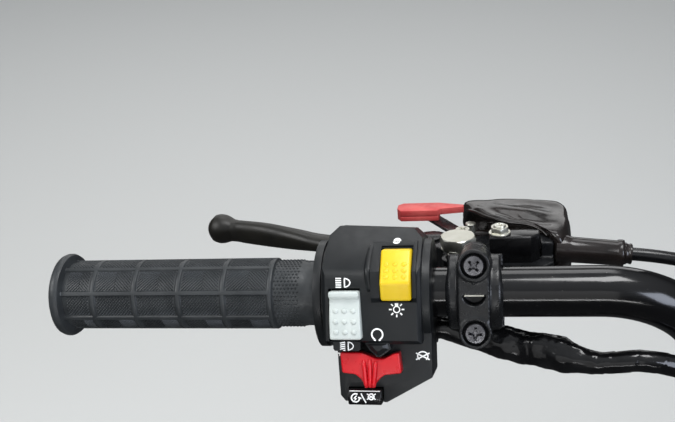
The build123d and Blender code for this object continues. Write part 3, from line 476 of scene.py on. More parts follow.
def dress(thing, slot, *stands_for, body="handlebar", smooth=32, material=None):
    """Give a piece its slot's or its own material and its body, and hide the CAD nodes that it stands for."""
    thing.data.materials.clear()
    thing.data.materials.append(material or SLOTS[slot])
    thing.data.shade_smooth()
    thing.data.set_sharp_from_angle(angle=radians(smooth))
    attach(thing, body)
    if stands_for:
        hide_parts(*stands_for)
    return thing


def piece(bm, name, slot, local, *stands_for, **settings):
    """A dressed piece from a shape that was made in a local frame."""
    return dress(to_object(bm, name, local), slot, *stands_for, **settings)


corners = [bar_tip, high_corner, low_corner]
corners += [MIRROR @ corner for corner in reversed(corners)]
piece(
    tube(rounded_route(corners, bend_radius), bar_radius, 72), "bent_tube", "bar_enamel", ROW,
    "handlebar_tube"
)


# Grips: ribbed and ringed rubber, with hatching in its panels. Turns run from the rider's side upwards.
grip_ring_places = (-173.8, -153.5, -132.3, -111.2, -89.5)
ring_half = 1.1
rib_count = 8
rib_turn = 6.0
rib_radius = 16.2
panel_radius = 15.25
sleeve_radius = 14.9
hatch_pitch = 1.5
hatch_rows = 13
knurl_rows = 56
knurl_columns = 14
knurl_pitch = 0.82
flange_profile = (
    # x, radius
    (-194.0, 0.1), (-194.0, 9.0), (-193.2, 9.8), (-193.2, 12.2), (-194.0, 13.0), (-194.5, 15.0),
    (-194.4, 17.6),
    (-193.6, 18.9), (-192.2, 19.5), (-190.8, 19.5), (-189.7, 18.9), (-189.3, 17.9), (-189.2, 16.6),
)
sleeve_profile = ((-75.4, 14.9), (-75.0, 14.7), (-72.0, 14.7), (-69.0, 14.7), (-68.2, 14.2))


def grip_point(x, radius, turn):
    """A point of the grip, by its place along the bar, its radius and its turn."""
    return Vector((x, -radius * cos(turn), radius * sin(turn)))


def grip_stations():
    """Places along the grip, close together where a ring starts or ends."""
    places = [-188.8, -188.2]
    for ring in grip_ring_places:
        start = places[-1]
        places += [start + (ring - ring_half - 0.6 - start) * share for share in shares(5)[1:-1]]
        places += [ring + offset for offset in (-1.6, -1.25, -0.9, -0.5, 0.5, 0.9, 1.25, 1.6)]
    return places


def hatching():
    """Places for the chevron ridges and the diamonds in the panels, and for the sleeve's knurling."""
    places = []
    pitch = hatch_pitch / 2
    for start, end in zip((-188.4, *grip_ring_places), grip_ring_places):
        columns = int((end - start - 4.2) / pitch)
        for panel in range(rib_count):
            middle = radians(rib_turn + 360 / rib_count * (panel + 0.5))
            for row in range(hatch_rows):
                turn = middle + (row - (hatch_rows - 1) / 2) * pitch / panel_radius
                up = grip_point(0, 1, turn)
                for column in range(row % 2, columns + 1, 2):
                    spot = grip_point(start + 2.1 + column * pitch, panel_radius - 0.05, turn)
                    if panel % 2:
                        places.append(standing(spot, up, stretch=(0.66, 0.66, 0.5)))
                        continue
                    lean = 0.9 if column < columns * 0.55 else -0.9
                    along = ACROSS * cos(lean) + up.cross(ACROSS) * sin(lean)
                    places.append(standing(spot, up, along, (1.1, 0.36, 0.46)))
    for row in range(knurl_rows):
        turn = 2 * pi * row / knurl_rows
        for column in range(row % 2, knurl_columns, 2):
            spot = grip_point(-87.5 + column * knurl_pitch, sleeve_radius - 0.05, turn)
            places.append(standing(spot, grip_point(0, 1, turn), stretch=(0.74, 0.74, 0.5)))
    return places


def stud():
    """A small pointed stud, 1 across its foot's radius and 1 high."""
    return to_object(
        loft([circle((0, 0, level), UP, radius, 4, ACROSS) for level, radius in ((0, 1.0), (1, 0.25))])
    )


def grip(side, turn_over):
    """One grip with its flange, rings, ribs, hatching and plain sleeve."""
    turns = []
    for rib in range(rib_count):
        middle = rib_turn + 360 / rib_count * rib
        turns += [
            radians(middle + offset)
            for offset in (-4.8, -3.9, -2.9, 0, 2.9, 3.9, 4.8, 12, 18, 22.5, 27, 33)
        ]
    last_ring = grip_ring_places[-1]
    rings = [[grip_point(x, radius, turn) for turn in turns] for x, radius in flange_profile]
    for x in grip_stations():
        near_ring = max(1 - ramp(abs(x - ring), 0.7, 1.5) for ring in grip_ring_places)
        inner = sleeve_radius if x > last_ring + 0.8 else panel_radius
        ring = []
        for turn in turns:
            from_rib = (degrees(turn) - rib_turn + 22.5) % 45 - 22.5
            near_rib = 0 if x > last_ring + 0.4 else 1 - ramp(abs(from_rib), 2.8, 4.4)
            ring.append(grip_point(x, inner + (rib_radius - inner) * max(near_ring, near_rib), turn))
        rings.append(ring)
    rings += [[grip_point(x, radius, turn) for turn in turns] for x, radius in sleeve_profile]
    bm = loft(rings)
    add_copies(bm, stud(), hatching())
    # The mould's parting line on top of the sleeve
    line = [
        grip_point(-75 + 6.4 * step / 24, 14.72, radians(78 + 2.2 * sin(step * 0.9)))
        for step in range(25)
    ]
    tube(line, 0.22, 6, bm=bm)
    piece(bm, f"ribbed_grip_{side}", "grip_rubber", turn_over @ RIDER, f"grip_{side}")


for side, turn_over in SIDES.items():
    grip(side, turn_over)


# Screws and other fasteners, made standing on Z with the underside of the head at nought

def cross_screw(radius, height, recess=0.62):
    """A domed screw head with a cross recess."""
    crown = [
        (height * sin(angle), radius * (0.80 + 0.20 * cos(angle)))
        for angle in map(radians, (0, 20, 40, 60, 75))
    ]
    rim = [(0, radius * 0.96), (0, radius)]
    head = to_object(lathe([*rim, *crown, (height, radius * 0.55), (height, 0.1)], sides=40))
    slot = oblong(-radius * recess, -radius * 0.13, radius * recess, radius * 0.13)
    cutters = []
    for corners in (slot, [(-b, a) for a, b in slot]):
        rings = [
            [Vector((a * share, b * share, height * level)) for a, b in corners]
            for level, share in ((0.25, 0.55), (1.2, 1.15))
        ]
        cutters.append(to_object(loft(rings)))
    point = [(height * 0.45, 0.05), (height * 0.45, radius * 0.18), (height * 1.2, radius * 0.34)]
    return cut_out(head, *cutters, to_object(lathe(point, sides=16)))


def hex_head(middle, flats, low, high, turn=0.0, bm=None):
    """A hexagon head with its top corners taken off."""
    corner = flats / 2 / cos(radians(30))
    rings = []
    for level, share in ((low, 0.97), (low + 0.3, 1.0), (high - 0.9, 1.0), (high - 0.35, 0.96), (high, 0.88)):
        ring = []
        for step in range(24):
            angle = 2 * pi * step / 24
            edge = flats / 2 / cos((angle + radians(30)) % radians(60) - radians(30))
            reach = min(edge, corner * share) if share < 1 else edge
            ring.append(middle + Vector((reach * cos(angle + turn), reach * sin(angle + turn), level)))
        rings.append(ring)
    return loft(rings, bm)


def washer(middle, radius, low, high, bm=None):
    """A flat washer with eased rims."""
    profile = [(low, radius - 0.2), (low + 0.15, radius), (high - 0.15, radius), (high, radius - 0.2)]
    return lathe(profile, middle, sides=40, bm=bm)


def thread(middle, radius, low, high, pitch, bm=None):
    """Thread ridges on a shank, as rings."""
    profile = []
    place = low
    while place < high - pitch / 2:
        profile += [
            (place, radius - 0.45 * pitch), (place + pitch * 0.4, radius), (place + pitch * 0.6, radius)
        ]
        place += pitch
    return lathe([*profile, (high, radius - 0.45 * pitch)], middle, sides=32, bm=bm)


def pillow(bm, run, width, height, ends=0.15):
    """A soft ridge along points, each with its outward direction."""
    rings = []
    last = len(run) - 1
    for place, (point, outward) in enumerate(run):
        share = sin(pi * (ends + (1 - 2 * ends) * place / last)) if 0 < place < last else 0.05
        ring = []
        for step in range(9):
            angle = pi * step / 8
            aside = ACROSS * (width / 2 * cos(angle) * (0.6 + 0.4 * share))
            ring.append(point + aside + outward * (height * sin(angle) * share))
        rings.append([*ring, point - outward * 0.5])
    loft(rings, bm)


# Switch case. The block's lower lip is thin below the white rocker,
# and a pad there carries the low beam's sign.
block_face = 29.0
sign_pad = [(-58.4, -17.6), (-58.4, -21.2), (-57.6, -22.0), (-47.6, -22.0), (-46.8, -21.2), (-46.8, -17.6)]
case_front = ease_edges(copy_of("switch_case_front"), 0.8)
lip_cutter = to_object(prism(oblong(-63.2, -20.4, -44.9, -18.2), -33.0, -18.05, "XZ"), local=RIDER)
cut_out(case_front, lip_cutter)
pad = to_object(prism(sign_pad, -28.2, -17.0, "XZ"), local=RIDER)
case_front = mesh_object(taken_over(case_front, pad), "switch_case_front_shape")
dress(case_front, "case_plastic", "switch_case_front")
dress(ease_edges(copy_of("switch_case_rear"), 0.8), "case_plastic", "switch_case_rear")


def case_ridge():
    """The raised ridge beside the light switch's rocker: up the face, then up its slope."""
    slope_start = 11.5
    run = []
    for share in shares(16):
        height = 3.0 + share * 19.5
        on_slope = height >= slope_start
        depth = block_face + 0.2 - on_slope * (height - slope_start) * 17 / 18.9
        outward = Vector((0, -0.70, 0.72)) if on_slope else -FORWARD
        run.append((Vector((-42.0 - 0.8 * sin(pi * share), -depth, height)), outward))
    bm = bmesh.new()
    pillow(bm, run, 3.4, 1.5)
    piece(bm, "case_ridge", "case_plastic", RIDER, smooth=60)


case_ridge()

# The upper lip of the light switch's well, flush with the sloping face
lip = prism([(-14.0, 20.6), (-20.9, 20.6), (-19.6, 22.0), (-14.0, 22.0)], -38.2, -23.8, "YZ")
piece(lip, "well_lip", "case_plastic", RIDER)

# The faceted arrow over the stop switch, whose tip lies in the paddle's notch
arrow = ((-45.0, -18.9), (-34.6, -18.9), (-34.0, -21.2), (-38.3, -24.5), (-39.9, -24.5), (-43.0, -21.7))
arrow_x, arrow_z = -39.4, -20.0
rings = [
    [Vector((arrow_x + (x - arrow_x) * share, depth, arrow_z + (z - arrow_z) * share)) for x, z in arrow]
    for depth, share in ((-18.0, 1.0), (-27.6, 1.0), (-29.3, 0.42))
]
piece(loft(rings), "stop_pointer", "case_plastic", RIDER, smooth=15)


# Rockers, paddle and button

def rounded_block(outline, low, high, width, plane="YZ"):
    """An outline drawn out, with rounded edges, as a shape in the making."""
    return taken_over(ease_edges(to_object(prism(outline, low, high, plane)), width, 4, 20, unit=1))


def add_domes(bm, first, across, down, outward, stretch):
    """Three rows of three low round studs: the first row's middle, and the steps across and to each row."""
    dome = lathe([(-0.6, 1.0), (0.0, 1.0), (0.4, 0.9), (0.72, 0.68), (0.93, 0.36), (1.0, 0.02)], sides=20)
    spots = [first[row] + down * row + ACROSS * across * column for row in range(3) for column in (-1, 0, 1)]
    add_copies(bm, to_object(dome), [standing(spot, outward, stretch=stretch) for spot in spots])


def light_rocker():
    """The yellow rocker, with its studs on its upper face."""
    crest = Vector((0, -34.2, 6.8))
    top = Vector((0, -26.6, 20.4))
    outline = [(-17, -0.8), (-31.2, -0.8), (crest.y, crest.z), (top.y, top.z), (-17, top.z)]
    bm = rounded_block(outline, -37.4, -24.6, 1.1)
    up_face = (top - crest).normalized()
    outward = Vector((0, -up_face.z, up_face.y))
    first = crest + up_face * 2.8 + Vector((-31.0, 0, 0)) - outward * 0.05
    add_domes(bm, [first] * 3, 3.7, up_face * 2.9, outward, (1.2, 1.2, 0.42))
    piece(bm, "yellow_rocker", "amber_plastic", RIDER, "light_rocker")


def dimmer_rocker():
    """The white rocker: a lip on top, a hollow, and a studded face. It leans outboard at its foot."""
    outline = [
        (-22, -16.7), (-33.2, -16.7), (-33.0, -8.0), (-31.6, -1.6), (-31.4, 0.0), (-33.2, 0.9),
        (-33.4, 3.4), (-22, 3.4),
    ]
    left, right, top = -59.4, -46.8, 3.4
    bm = rounded_block(outline, left, right, 0.9)
    first = [Vector((-53.1, depth, -4.9)) for depth in (-32.3, -33.0, -33.1)]
    add_domes(bm, first, 3.6, Vector((0, 0, -4.3)), (0, -1, 0.05), (1.15, 1.15, 0.6))
    for vertex in bm.verts:
        weight = 0.35 + 0.65 * (vertex.co.x - left) / (right - left)
        vertex.co.x += weight * (0.4 + 0.045 * (top - vertex.co.z))
    piece(bm, "white_rocker", "white_plastic", RIDER, "dimmer_rocker")


def stop_paddle():
    """The red stop switch: two wings and a ribbed tongue between them."""
    top, low, left, right, middle = -23.0, -31.7, -56.1, -30.0, -42.9
    outline = [
        (left, top), (middle - 5.0, top), (middle - 1.6, top - 1.0), (middle + 2.4, top - 2.6),
        (middle + 5.2, top - 2.6), (middle + 9.6, top - 0.5), (right - 0.9, top), (right, low),
        (middle + 5.6, low - 0.8), (middle + 3.6, low - 2.4), (middle + 1.4, low - 5.2),
        (middle - 2.6, low - 5.2),
        (middle - 4.6, low - 2.4), (middle - 6.8, low - 0.6), (left + 0.7, low),
    ]
    bm = rounded_block(outline, -26.0, -18.2, 0.8, plane="XZ")
    for shift, length in ((-2.7, 0.5), (0.0, 0.0), (2.6, 0.9)):
        run = []
        for share in shares(8):
            x = middle - 0.4 + shift * (1 - 0.42 * share)
            height = top - 2.4 - length - (12.2 - length) * share
            run.append((Vector((x, -25.8 - 0.9 * share, height)), -FORWARD))
        pillow(bm, run, 2.0, 1.7, 0.30)
    piece(bm, "red_paddle", "red_plastic", RIDER, "stop_switch", smooth=40)


light_rocker()
dimmer_rocker()
stop_paddle()
outline = [(-10, -46.0), (-22.0, -46.0), (-22.8, -42.7), (-22.0, -39.4), (-10, -39.4)]
button = rounded_block(outline, -53.7, -39.2, 0.6)
start_button = piece(button, "start_button", "black_gloss_plastic", RIDER, "starter_button")


# Printed pictograms: thin ribbons of ink. Each is drawn in its own face's across and up.

def lay_on(bm, thing, lift):
    """Moves each point of a print along the rider's view onto an object's surface."""
    start_depth = -70
    skin = bmesh.new()
    skin.from_mesh(thing.data)
    tree = BVHTree.FromBMesh(skin)
    away = (RIDER.to_3x3() @ FORWARD).normalized()
    for vertex in bm.verts:
        start = RIDER @ Vector((vertex.co.x, start_depth, vertex.co.z))
        distance = tree.ray_cast(start, away)[3]
        if distance is not None:
            vertex.co.y = start_depth + distance / MM - (lift if vertex.co.y < 0 else -0.1)
    skin.free()


def ink_run(bm, points, width, closed=False):
    """A flat ribbon of ink along points, given across and up: its face at -1, its back at 1."""
    corners = [Vector(point) for point in points]
    points = []
    for start, end in zip(corners, corners[1:] + corners[:1] * closed):
        parts = ceil((end - start).length / 0.45)
        points += [start.lerp(end, part / parts) for part in range(parts)]
    if not closed:
        points.append(corners[-1])
    count = len(points)
    rings = []
    for index, point in enumerate(points):
        before = points[index - 1] if index or closed else point
        after = points[(index + 1) % count] if index < count - 1 or closed else point
        along = (after - before).normalized()
        across = Vector((-along.y, along.x)) * width / 2
        a, b = point + across, point - across
        rings.append([Vector((end.x, depth, end.y)) for end, depth in ((a, -1), (b, -1), (b, 1), (a, 1))])
    loft(rings + rings[:1] * closed, bm, caps=not closed)


def arc(middle, radius, start, end, steps=20, tall=1.0, wide=1.0):
    """Points along an arc, in degrees."""
    turns = [radians(start + (end - start) * share) for share in shares(steps)]
    return [(middle[0] + radius * wide * cos(turn), middle[1] + radius * tall * sin(turn)) for turn in turns]


def ring_of(middle, radius, steps=24, tall=1.0):
    """Points round a whole circle."""
    return arc(middle, radius, 0, 360, steps, tall)[:-1]


def crossed(bm, middle, half_x, low, high, width):
    """Two strokes that cross at a place."""
    x, y = middle
    for lean in (-1, 1):
        ink_run(bm, [(x - half_x * lean, y - low), (x + half_x * lean, y + high)], width)


def block_signs(bm):
    """Off, lights, high and low beam, run, and stop on both sides of the paddle."""
    reaches = ((1, 1.65), (-1, 1.65), (-1, 1.1), (-1, 0.55), (-1, 0.05))
    loft(
        [[Vector((a, depth, b)) for a, b in ring_of((-31.6, 23.6), reach, tall=0.7)] for depth, reach in reaches],
        bm
    )
    sun = (-31.0, -4.5)
    ink_run(bm, ring_of(sun, 1.3), 0.45, closed=True)
    for ray in range(8):
        turn = radians(45 * ray + 90)
        ends = [(sun[0] + r * cos(turn), sun[1] + r * sin(turn)) for r in ((2.1, 3.2) if ray else (1.5, 2.6))]
        ink_run(bm, ends, 0.55 if ray else 1.4)
    for (x, y), scale, lean in (((-53.5, 6.8), 1.0, 0.0), ((-52.6, -19.9), 0.92, 0.5)):
        ink_run(bm, arc((x + 0.1 * scale, y), 1.9 * scale, -78, 78, 16, wide=1.55), 0.5 * scale, closed=True)
        for row in range(5):
            level = y + (row - 2) * 0.92 * scale
            ink_run(bm, [(x - 3.1 * scale, level - lean), (x - 0.7 * scale, level)], 0.52 * scale)
    run = (-39.4, -14.9)
    ink_run(bm, arc(run, 2.3, -62, 242, 30), 0.62)
    for side in (-1, 1):
        foot = (run[0] + side * 1.0, run[1] - 2.1)
        ink_run(bm, [foot, (foot[0] + side * 0.1, foot[1] - 0.55)], 0.9)
    for middle in ((-21.7, -25.6), (-57.0, -25.0)):
        ink_run(bm, arc(middle, 1.9, -50, 230, 24, wide=1.15), 0.55)
        crossed(bm, middle, 2.9, 1.5, 1.3, 0.55)


def button_signs(bm):
    """Start: a turning arrow with a bolt, a stroke, and an engine loop struck through, under a line."""
    start = (-50.4, -42.9)
    ink_run(bm, arc(start, 1.75, 60, 350, 24), 0.55)
    bolt = ((0.5, 1.0), (-0.6, -0.1), (0.4, -0.2), (-0.5, -1.1))
    ink_run(bm, [(start[0] + a, start[1] + b) for a, b in bolt], 0.42)
    ink_run(bm, [(start[0] + 1.1, start[1] + 0.3), (start[0] + 2.5, start[1] - 0.1)], 0.6)
    ink_run(bm, [(-48.0, -41.0), (-45.9, -45.0)], 0.5)
    loop = (-43.6, -42.3)
    ink_run(bm, ring_of(loop, 1.2, 20), 0.55, closed=True)
    crossed(bm, loop, 1.9, 1.2, 1.2, 0.42)
    ink_run(bm, [(-53.0, -40.0), (-39.8, -40.0)], 0.3)


for signs, surface in ((block_signs, case_front), (button_signs, start_button)):
    bm = bmesh.new()
    signs(bm)
    lay_on(bm, surface, 0.14)
    piece(bm, signs.__name__, "white_plastic", RIDER, material=PRINT_INK)


def clamp_cap(side, turn_over):
    """A clamp cap with its screws: a crowned band, lobes, and a half-moon slot in its face."""
    local = turn_over @ CLAMP
    cutters = [prism(arc((0.5, 1.7), 4.7, 180, 360, 16, 0.95), -20.0, -11.6, "XZ")]
    # The band is narrower where it meets the perch
    for edge, way in ((-11.9, -1), (12.6, 1)):
        for end in (-1, 1):
            wedge = [
                (edge + 0.1 * way, 5.0), (edge - 1.9 * way, 19.0), (edge + 4 * way, 19.0),
                (edge + 4 * way, 5.0)
            ]
            cutters.append(prism([(x, z * end) for x, z in wedge], -20.0, 1.0, "XZ"))
    cap = cut_out(copy_of(f"clamp_cap_{side}"), *[to_object(bm, local=local) for bm in cutters])
    dress(cast_round(cap, 0.42, 14), "cast_black", f"clamp_cap_{side}", smooth=60)
    # The slot's upper lip as a thin pale strip of metal, and a small raised point
    lip = prism([(-3.7, 1.4), (4.7, 1.4), (4.5, 2.0), (-3.5, 2.0)], -17.5, -17.1, "XZ")
    piece(lip, f"slot_lip_{side}", "zinc_steel", local)
    point = lathe([(17.2, 1.1), (17.5, 0.9), (17.7, 0.5), (17.75, 0.1)], (0.4, 0, 7.2), -FORWARD, 20)
    piece(point, f"cap_point_{side}", "cast_black", local)
    bm = bmesh.new()
    screws = ((0.6, 14.5), (0.6, -14.5))
    add_copies(
        bm, cross_screw(4.7, 2.7),
        [standing((x, -16.0, z), -FORWARD, (1, 0, 0.4 + z / 30)) for x, z in screws]
    )
    for x, z in screws:
        lathe([(10.0, 2.4), (16.2, 2.4)], (x, 0, z), -FORWARD, 20, bm)
    piece(bm, f"cap_screws_{side}", "dark_screw", local, f"clamp_screws_{side}")


for side, turn_over in SIDES.items():
    clamp_cap(side, turn_over)


# Brake levers, their bolts and the mirror bolts
lever_stations = (
    # x, y, half width, lowest, highest
    (-22.0, 45.0, 7.6, -4.4, 4.0),
    (-31.0, 46.7, 7.3, -4.7, 4.2),
    (-50.0, 51.6, 6.4, -4.9, 3.9),
    (-78.5, 59.3, 5.6, -5.1, 3.2),
    (-95.0, 64.8, 5.0, -6.1, 4.8),
    (-112.0, 70.6, 4.5, -6.5, 6.2),
    (-124.0, 73.0, 4.3, -5.6, 6.8),
    (-129.0, 73.8, 4.4, -4.8, 7.0),
)
blade_power = 0.84
ball_middle = Vector((-138.4, 75.3, 2.0))
ball_radius = 7.6
pivot = Vector((-22.0, 45.0, 0))
ear_top = 7.05
mirror_boss = Vector((-8.0, 27.0, 0))
cam_plan = [(-20, 40), (-8, 46), (2, 54), (3.5, 59), (-1, 62), (-12, 59), (-24, 55)]


def rounded_ring(middle, across, up, half_wide, half_tall, power=blade_power, sides=32):
    """A ring between an ellipse and a rectangle."""
    ring = []
    for step in range(sides):
        turn = 2 * pi * step / sides
        a = copysign(abs(cos(turn)) ** power, cos(turn)) * half_wide
        b = copysign(abs(sin(turn)) ** power, sin(turn)) * half_tall
        ring.append(middle + across * a + up * b)
    return ring


def brake_lever(side, turn_over):
    """A forged lever: hub, a blade that deepens outwards, and a ball at its tip. The left one has a cam."""
    run = smooth_run(lever_stations, 6)
    rings = []
    for place, (x, y, half, low, high) in enumerate(run):
        before = run[max(place - 1, 0)]
        after = run[min(place + 1, len(run) - 1)]
        along = Vector((after[0] - before[0], after[1] - before[1], 0)).normalized()
        rings.append(
            rounded_ring(Vector((x, y, (low + high) / 2)), UP.cross(along), UP, half, (high - low) / 2)
        )
    along = (ball_middle - Vector((run[-1][0], run[-1][1], 1.1))).normalized()
    across = UP.cross(along).normalized()
    over = along.cross(across)
    for step in range(1, 22):
        reach = -9.0 + 16.55 * step / 21
        ball = sqrt(max(ball_radius ** 2 - reach ** 2, 0.0))
        neck = 1 - ramp(reach, 3.5, 6.5)
        wide, tall = (max(((half * neck) ** 5 + ball ** 5) ** 0.2, 0.2) for half in (5.2, 5.9))
        power = blade_power + 0.16 * ramp(reach, -9, -2)
        rings.append(rounded_ring(ball_middle + along * reach, across, over, wide, tall, power))
    bm = loft(rings)
    lathe([(-4.5, 7.9), (-4.2, 8.5), (4.2, 8.5), (4.5, 7.9)], pivot, bm=bm)
    if side == "left":
        prism(cam_plan, -4.0, 2.0, bm=bm)
    name = f"forged_lever_{side}"
    piece(
        bm, name, "lever_black", turn_over @ LEVER, f"brake_lever_{side}", body=f"{side}_brake_lever",
        smooth=40
    )


def lever_fasteners(side, local):
    """The lever's bolt with its nut, and the mirror's bolt with a washer and bare thread."""
    cap = lathe([(0, 5.4), (0.3, 5.7), (1.1, 5.6), (1.5, 4.9), (1.7, 0.1)], pivot + UP * ear_top)
    piece(cap, f"pivot_cap_{side}", "cast_black", local)
    bm = hex_head(pivot, 10.0, -ear_top - 4.0, -ear_top, 0.2)
    thread(pivot, 3.0, -ear_top - 5.6, -ear_top - 4.0, 1.0, bm)
    piece(bm, f"pivot_bolt_{side}", "zinc_steel", local, f"lever_bolt_{side}")
    bm = hex_head(mirror_boss, 15.2, 10.4, 15.6, 0.26)
    washer(mirror_boss, 7.9, 9.4, 10.4, bm)
    thread(mirror_boss, 5.0, -ear_top - 2.0, 9.4, 1.5, bm)
    piece(bm, f"mirror_hole_bolt_{side}", "zinc_steel", local, f"mirror_bolt_{side}")


for side, turn_over in SIDES.items():
    brake_lever(side, turn_over)
    lever_fasteners(side, turn_over @ LEVER)

# The barrel that holds the cable's end in the left lever's cam, with the cable's short rubber sleeve
barrel = lathe([(-5.0, 2.2), (-4.6, 2.7), (8.0, 2.7), (8.4, 2.4), (8.5, 0.1)], (-3.4, 60.2, 0), sides=32)
piece(barrel, "cable_barrel", "zinc_steel", LEVER, body="left_brake_lever")
sleeve = tube([Vector((-1.5, 60.2, 2.2)), Vector((2.5, 60.3, 2.2)), Vector((6.5, 60.6, 2.2))], 2.3, 24)
piece(sleeve, "cable_sleeve_end", "boot_rubber", LEVER, body="left_brake_lever")

for node, voxel in (("brake_perch_left", 0.45), ("master_cylinder", 0.55)):
    dress(cast_round(copy_of(node), voxel, 8), "cast_black", node, smooth=60)


# Parking lock: a faded red cap over the lock's bar, with a groove along its front and a thinner tail
cap_plan = [
    (-40.5, 66.0), (-38.5, 62.5), (-20.0, 62.5), (-18.4, 64.8), (-7.0, 67.0), (-7.0, 69.8), (-20.0, 73.5),
    (-38.0, 73.5), (-40.5, 71.0),
]
groove = prism(oblong(-44, 60.0, -16, 62.9), 11.2, 11.8)
under_tail = prism(oblong(-19.2, 55.0, 0.0, 80.0), 5.0, 11.4)
cap = cut_out(to_object(prism(cap_plan, 9.0, 14.7)), to_object(groove), to_object(under_tail))
piece(taken_over(ease_edges(cap, 0.7, 3, 30, unit=1)), "red_lock_cap", "lock_red", LEVER, "lock_cap")
# The lock arm is zinc steel; it is given the dark cast finish here as painted shade, for the arm lying in shadow
dress(ease_edges(copy_of("lock_arm"), 0.35, 2), "cast_black", "lock_arm")
lock_place = Vector((-6.7, 45.1, 0))
bm = washer(lock_place, 4.6, 8.9, 9.6)
add_copies(bm, cross_screw(3.9, 2.0), [standing(lock_place + UP * 9.6, UP, (1, 0.8, 0))])
lathe([(-5.0, 2.5), (9.0, 2.5)], lock_place, sides=20, bm=bm)
piece(bm, "lock_pivot_screw", "zinc_steel", LEVER, "lock_screw")

# Brake light switch
switch_middle = Vector((11.2, 29.0, 0))
switch = ease_edges(copy_of("brake_light_switch"), 0.5)
dress(switch, "case_plastic", "brake_light_switch", material=SLOTS["black_gloss_plastic"])
bm = washer(switch_middle, 5.0, 15.5, 16.4)
hex_head(switch_middle, 7.6, 16.4, 19.0, 0.1, bm)
add_copies(bm, cross_screw(2.9, 0.9, 0.7), [standing(switch_middle + UP * 19.0, UP, (1, 0.5, 0))])
piece(bm, "switch_screw", "zinc_steel", LEVER, "light_switch_screw")


# Rubber boot over the cable's end
boot_edge = (
    # x, y, its lower edge's height
    (-6.2, 72.5, 9.6),
    (-7.2, 79.6, -1.0),
    (2.0, 81.0, -3.0),
    (16.0, 80.5, -5.0),
    (40.6, 75.0, -7.0),
    (44.0, 58.0, -7.0),
    (43.4, 41.5, -6.5),
    (40.0, 31.4, -5.6),
    (35.8, 31.4, -1.0),
    (33.6, 36.6, 9.6),
    (26.5, 43.6, 12.9),
    (15.0, 48.6, 13.1),
    (5.0, 56.0, 13.1),
    (-2.4, 65.0, 12.9),
)
boot_middle = Vector((19.0, 58.0))
boot_skin = [
    # share of the way out, height
    (1.0, -7.0), (1.008, -3.0), (1.01, 2.0), (1.01, 6.0), (1.0, 9.0), (0.985, 11.2), (0.955, 12.8),
    (0.91, 13.7),
    *[
        (share, 14.0 + 0.5 * (1 - share))
        for share in (0.85, 0.78, 0.7, 0.62, 0.54, 0.46, 0.38, 0.3, 0.22, 0.14, 0.06)
    ],
]
boot_creases = (
    # two ends, height, half width: ridges above nought, hollows below
    ((-1.0, 66.0), (14.0, 55.0), 0.9, 3.2),
    ((6.0, 62.0), (34.0, 44.0), -1.9, 3.0),
    ((12.0, 66.0), (36.0, 54.0), 1.0, 3.4),
    ((22.0, 72.0), (40.0, 64.0), -0.7, 3.0),
    ((34.0, 40.0), (40.0, 56.0), 0.6, 2.4),
)
cable_turn = radians(-4.8)
cable_drop = radians(3.5)
nozzle_root = Vector((41.1, 35.3, 4.2))
nozzle_end = 67.2
collar_length = 3.4
cable_axis = Vector((cos(cable_turn), sin(cable_turn), -sin(cable_drop))).normalized()
nozzle_run = (nozzle_end - nozzle_root.x) / cos(cable_turn)
nozzle_mouth = nozzle_root + cable_axis * (nozzle_run + collar_length)


def crease_height(spot):
    """How far the boot's top is pushed up or down at a place."""
    height = 0.0
    for start, end, rise, half in boot_creases:
        away = spot - Vector(start)
        run = Vector(end) - Vector(start)
        share = min(max(away.dot(run) / run.dot(run), 0), 1)
        distance = (away - run * share).length
        height += rise * exp(-(distance / half) ** 2) * (1 - 0.6 * abs(2 * share - 1))
    return height + 0.35 * blotch.noise(Vector((spot.x / 9, spot.y / 9, 0.3)))


def boot_ring(edge, share, height, sink=0.0):
    """One ring of the boot's skin, drawn in towards its middle."""
    ring = []
    for x, y, low in edge:
        flat = boot_middle + (Vector((x, y)) - boot_middle) * share
        fold = 0.45 * share * share * blotch.noise(Vector((x / 6, y / 6, height / 5)))
        level = height + (crease_height(flat) if share < 0.97 else 0)
        level = max(level, low + (1 - share) * 3) if share > 0.9 else level
        ring.append(Vector((flat.x + fold, flat.y + fold, level - sink)))
    return ring


def lever_boot():
    """The glossy rubber boot: a creased skin with a rolled lip and a bead, and a nozzle for the cable."""
    edge = smooth_run(boot_edge, 8, closed=True)
    lip = [
        [Vector((x + nudge * (x - boot_middle.x) / 40, y + nudge * (y - boot_middle.y) / 40, low - drop))
         for x, y, low in edge]
        for nudge, drop in ((-0.3, 0.7), (0.5, 0.8), (0.9, 0.3), (0.6, -0.3))
    ]
    outer = [boot_ring(edge, share, height) for share, height in boot_skin]
    inner = [boot_ring(edge, share * 0.96, height, 0.9) for share, height in boot_skin]
    bm = loft([*reversed(outer), *reversed(lip), *inner])
    nozzle = [(-4.0, 7.0), (-1.5, 7.0), (0.5, 6.7), (1.8, 6.3), (3.0, 6.05), (6.0, 6.0)]
    mouth = [(-3.6, 5.8), (-3.0, 6.2), (-1.2, 6.35), (-0.3, 6.0), (0.0, 5.2)]
    lathe(nozzle + [(nozzle_run + place, radius) for place, radius in mouth], nozzle_root, cable_axis, bm=bm)
    bead = [Vector((x, y, low - 0.1)) for x, y, low in edge if low > 9.0 and x < 33]
    tube(sorted(bead, key=lambda point: point.x), 0.85, 12, bm=bm)
    piece(bm, "rubber_boot", "boot_rubber", LEVER, "lever_boot", smooth=60)


lever_boot()
collar = [
    (0, 4.3), (0.3, 4.9), (0.9, 5.1), (1.5, 4.6), (2.2, 4.5), (2.8, 4.8), (3.5, 4.7), (3.8, 4.1), (3.8, 2.8)
]
bm = lathe([(nozzle_run - 0.4 + place, radius) for place, radius in collar], nozzle_root, cable_axis)
lathe([(-11.5, 3.6), (-0.5, 3.6)], nozzle_root, cable_axis, 24, bm)
piece(bm, "cable_adjuster_collar", "boot_rubber", LEVER, "cable_adjuster")


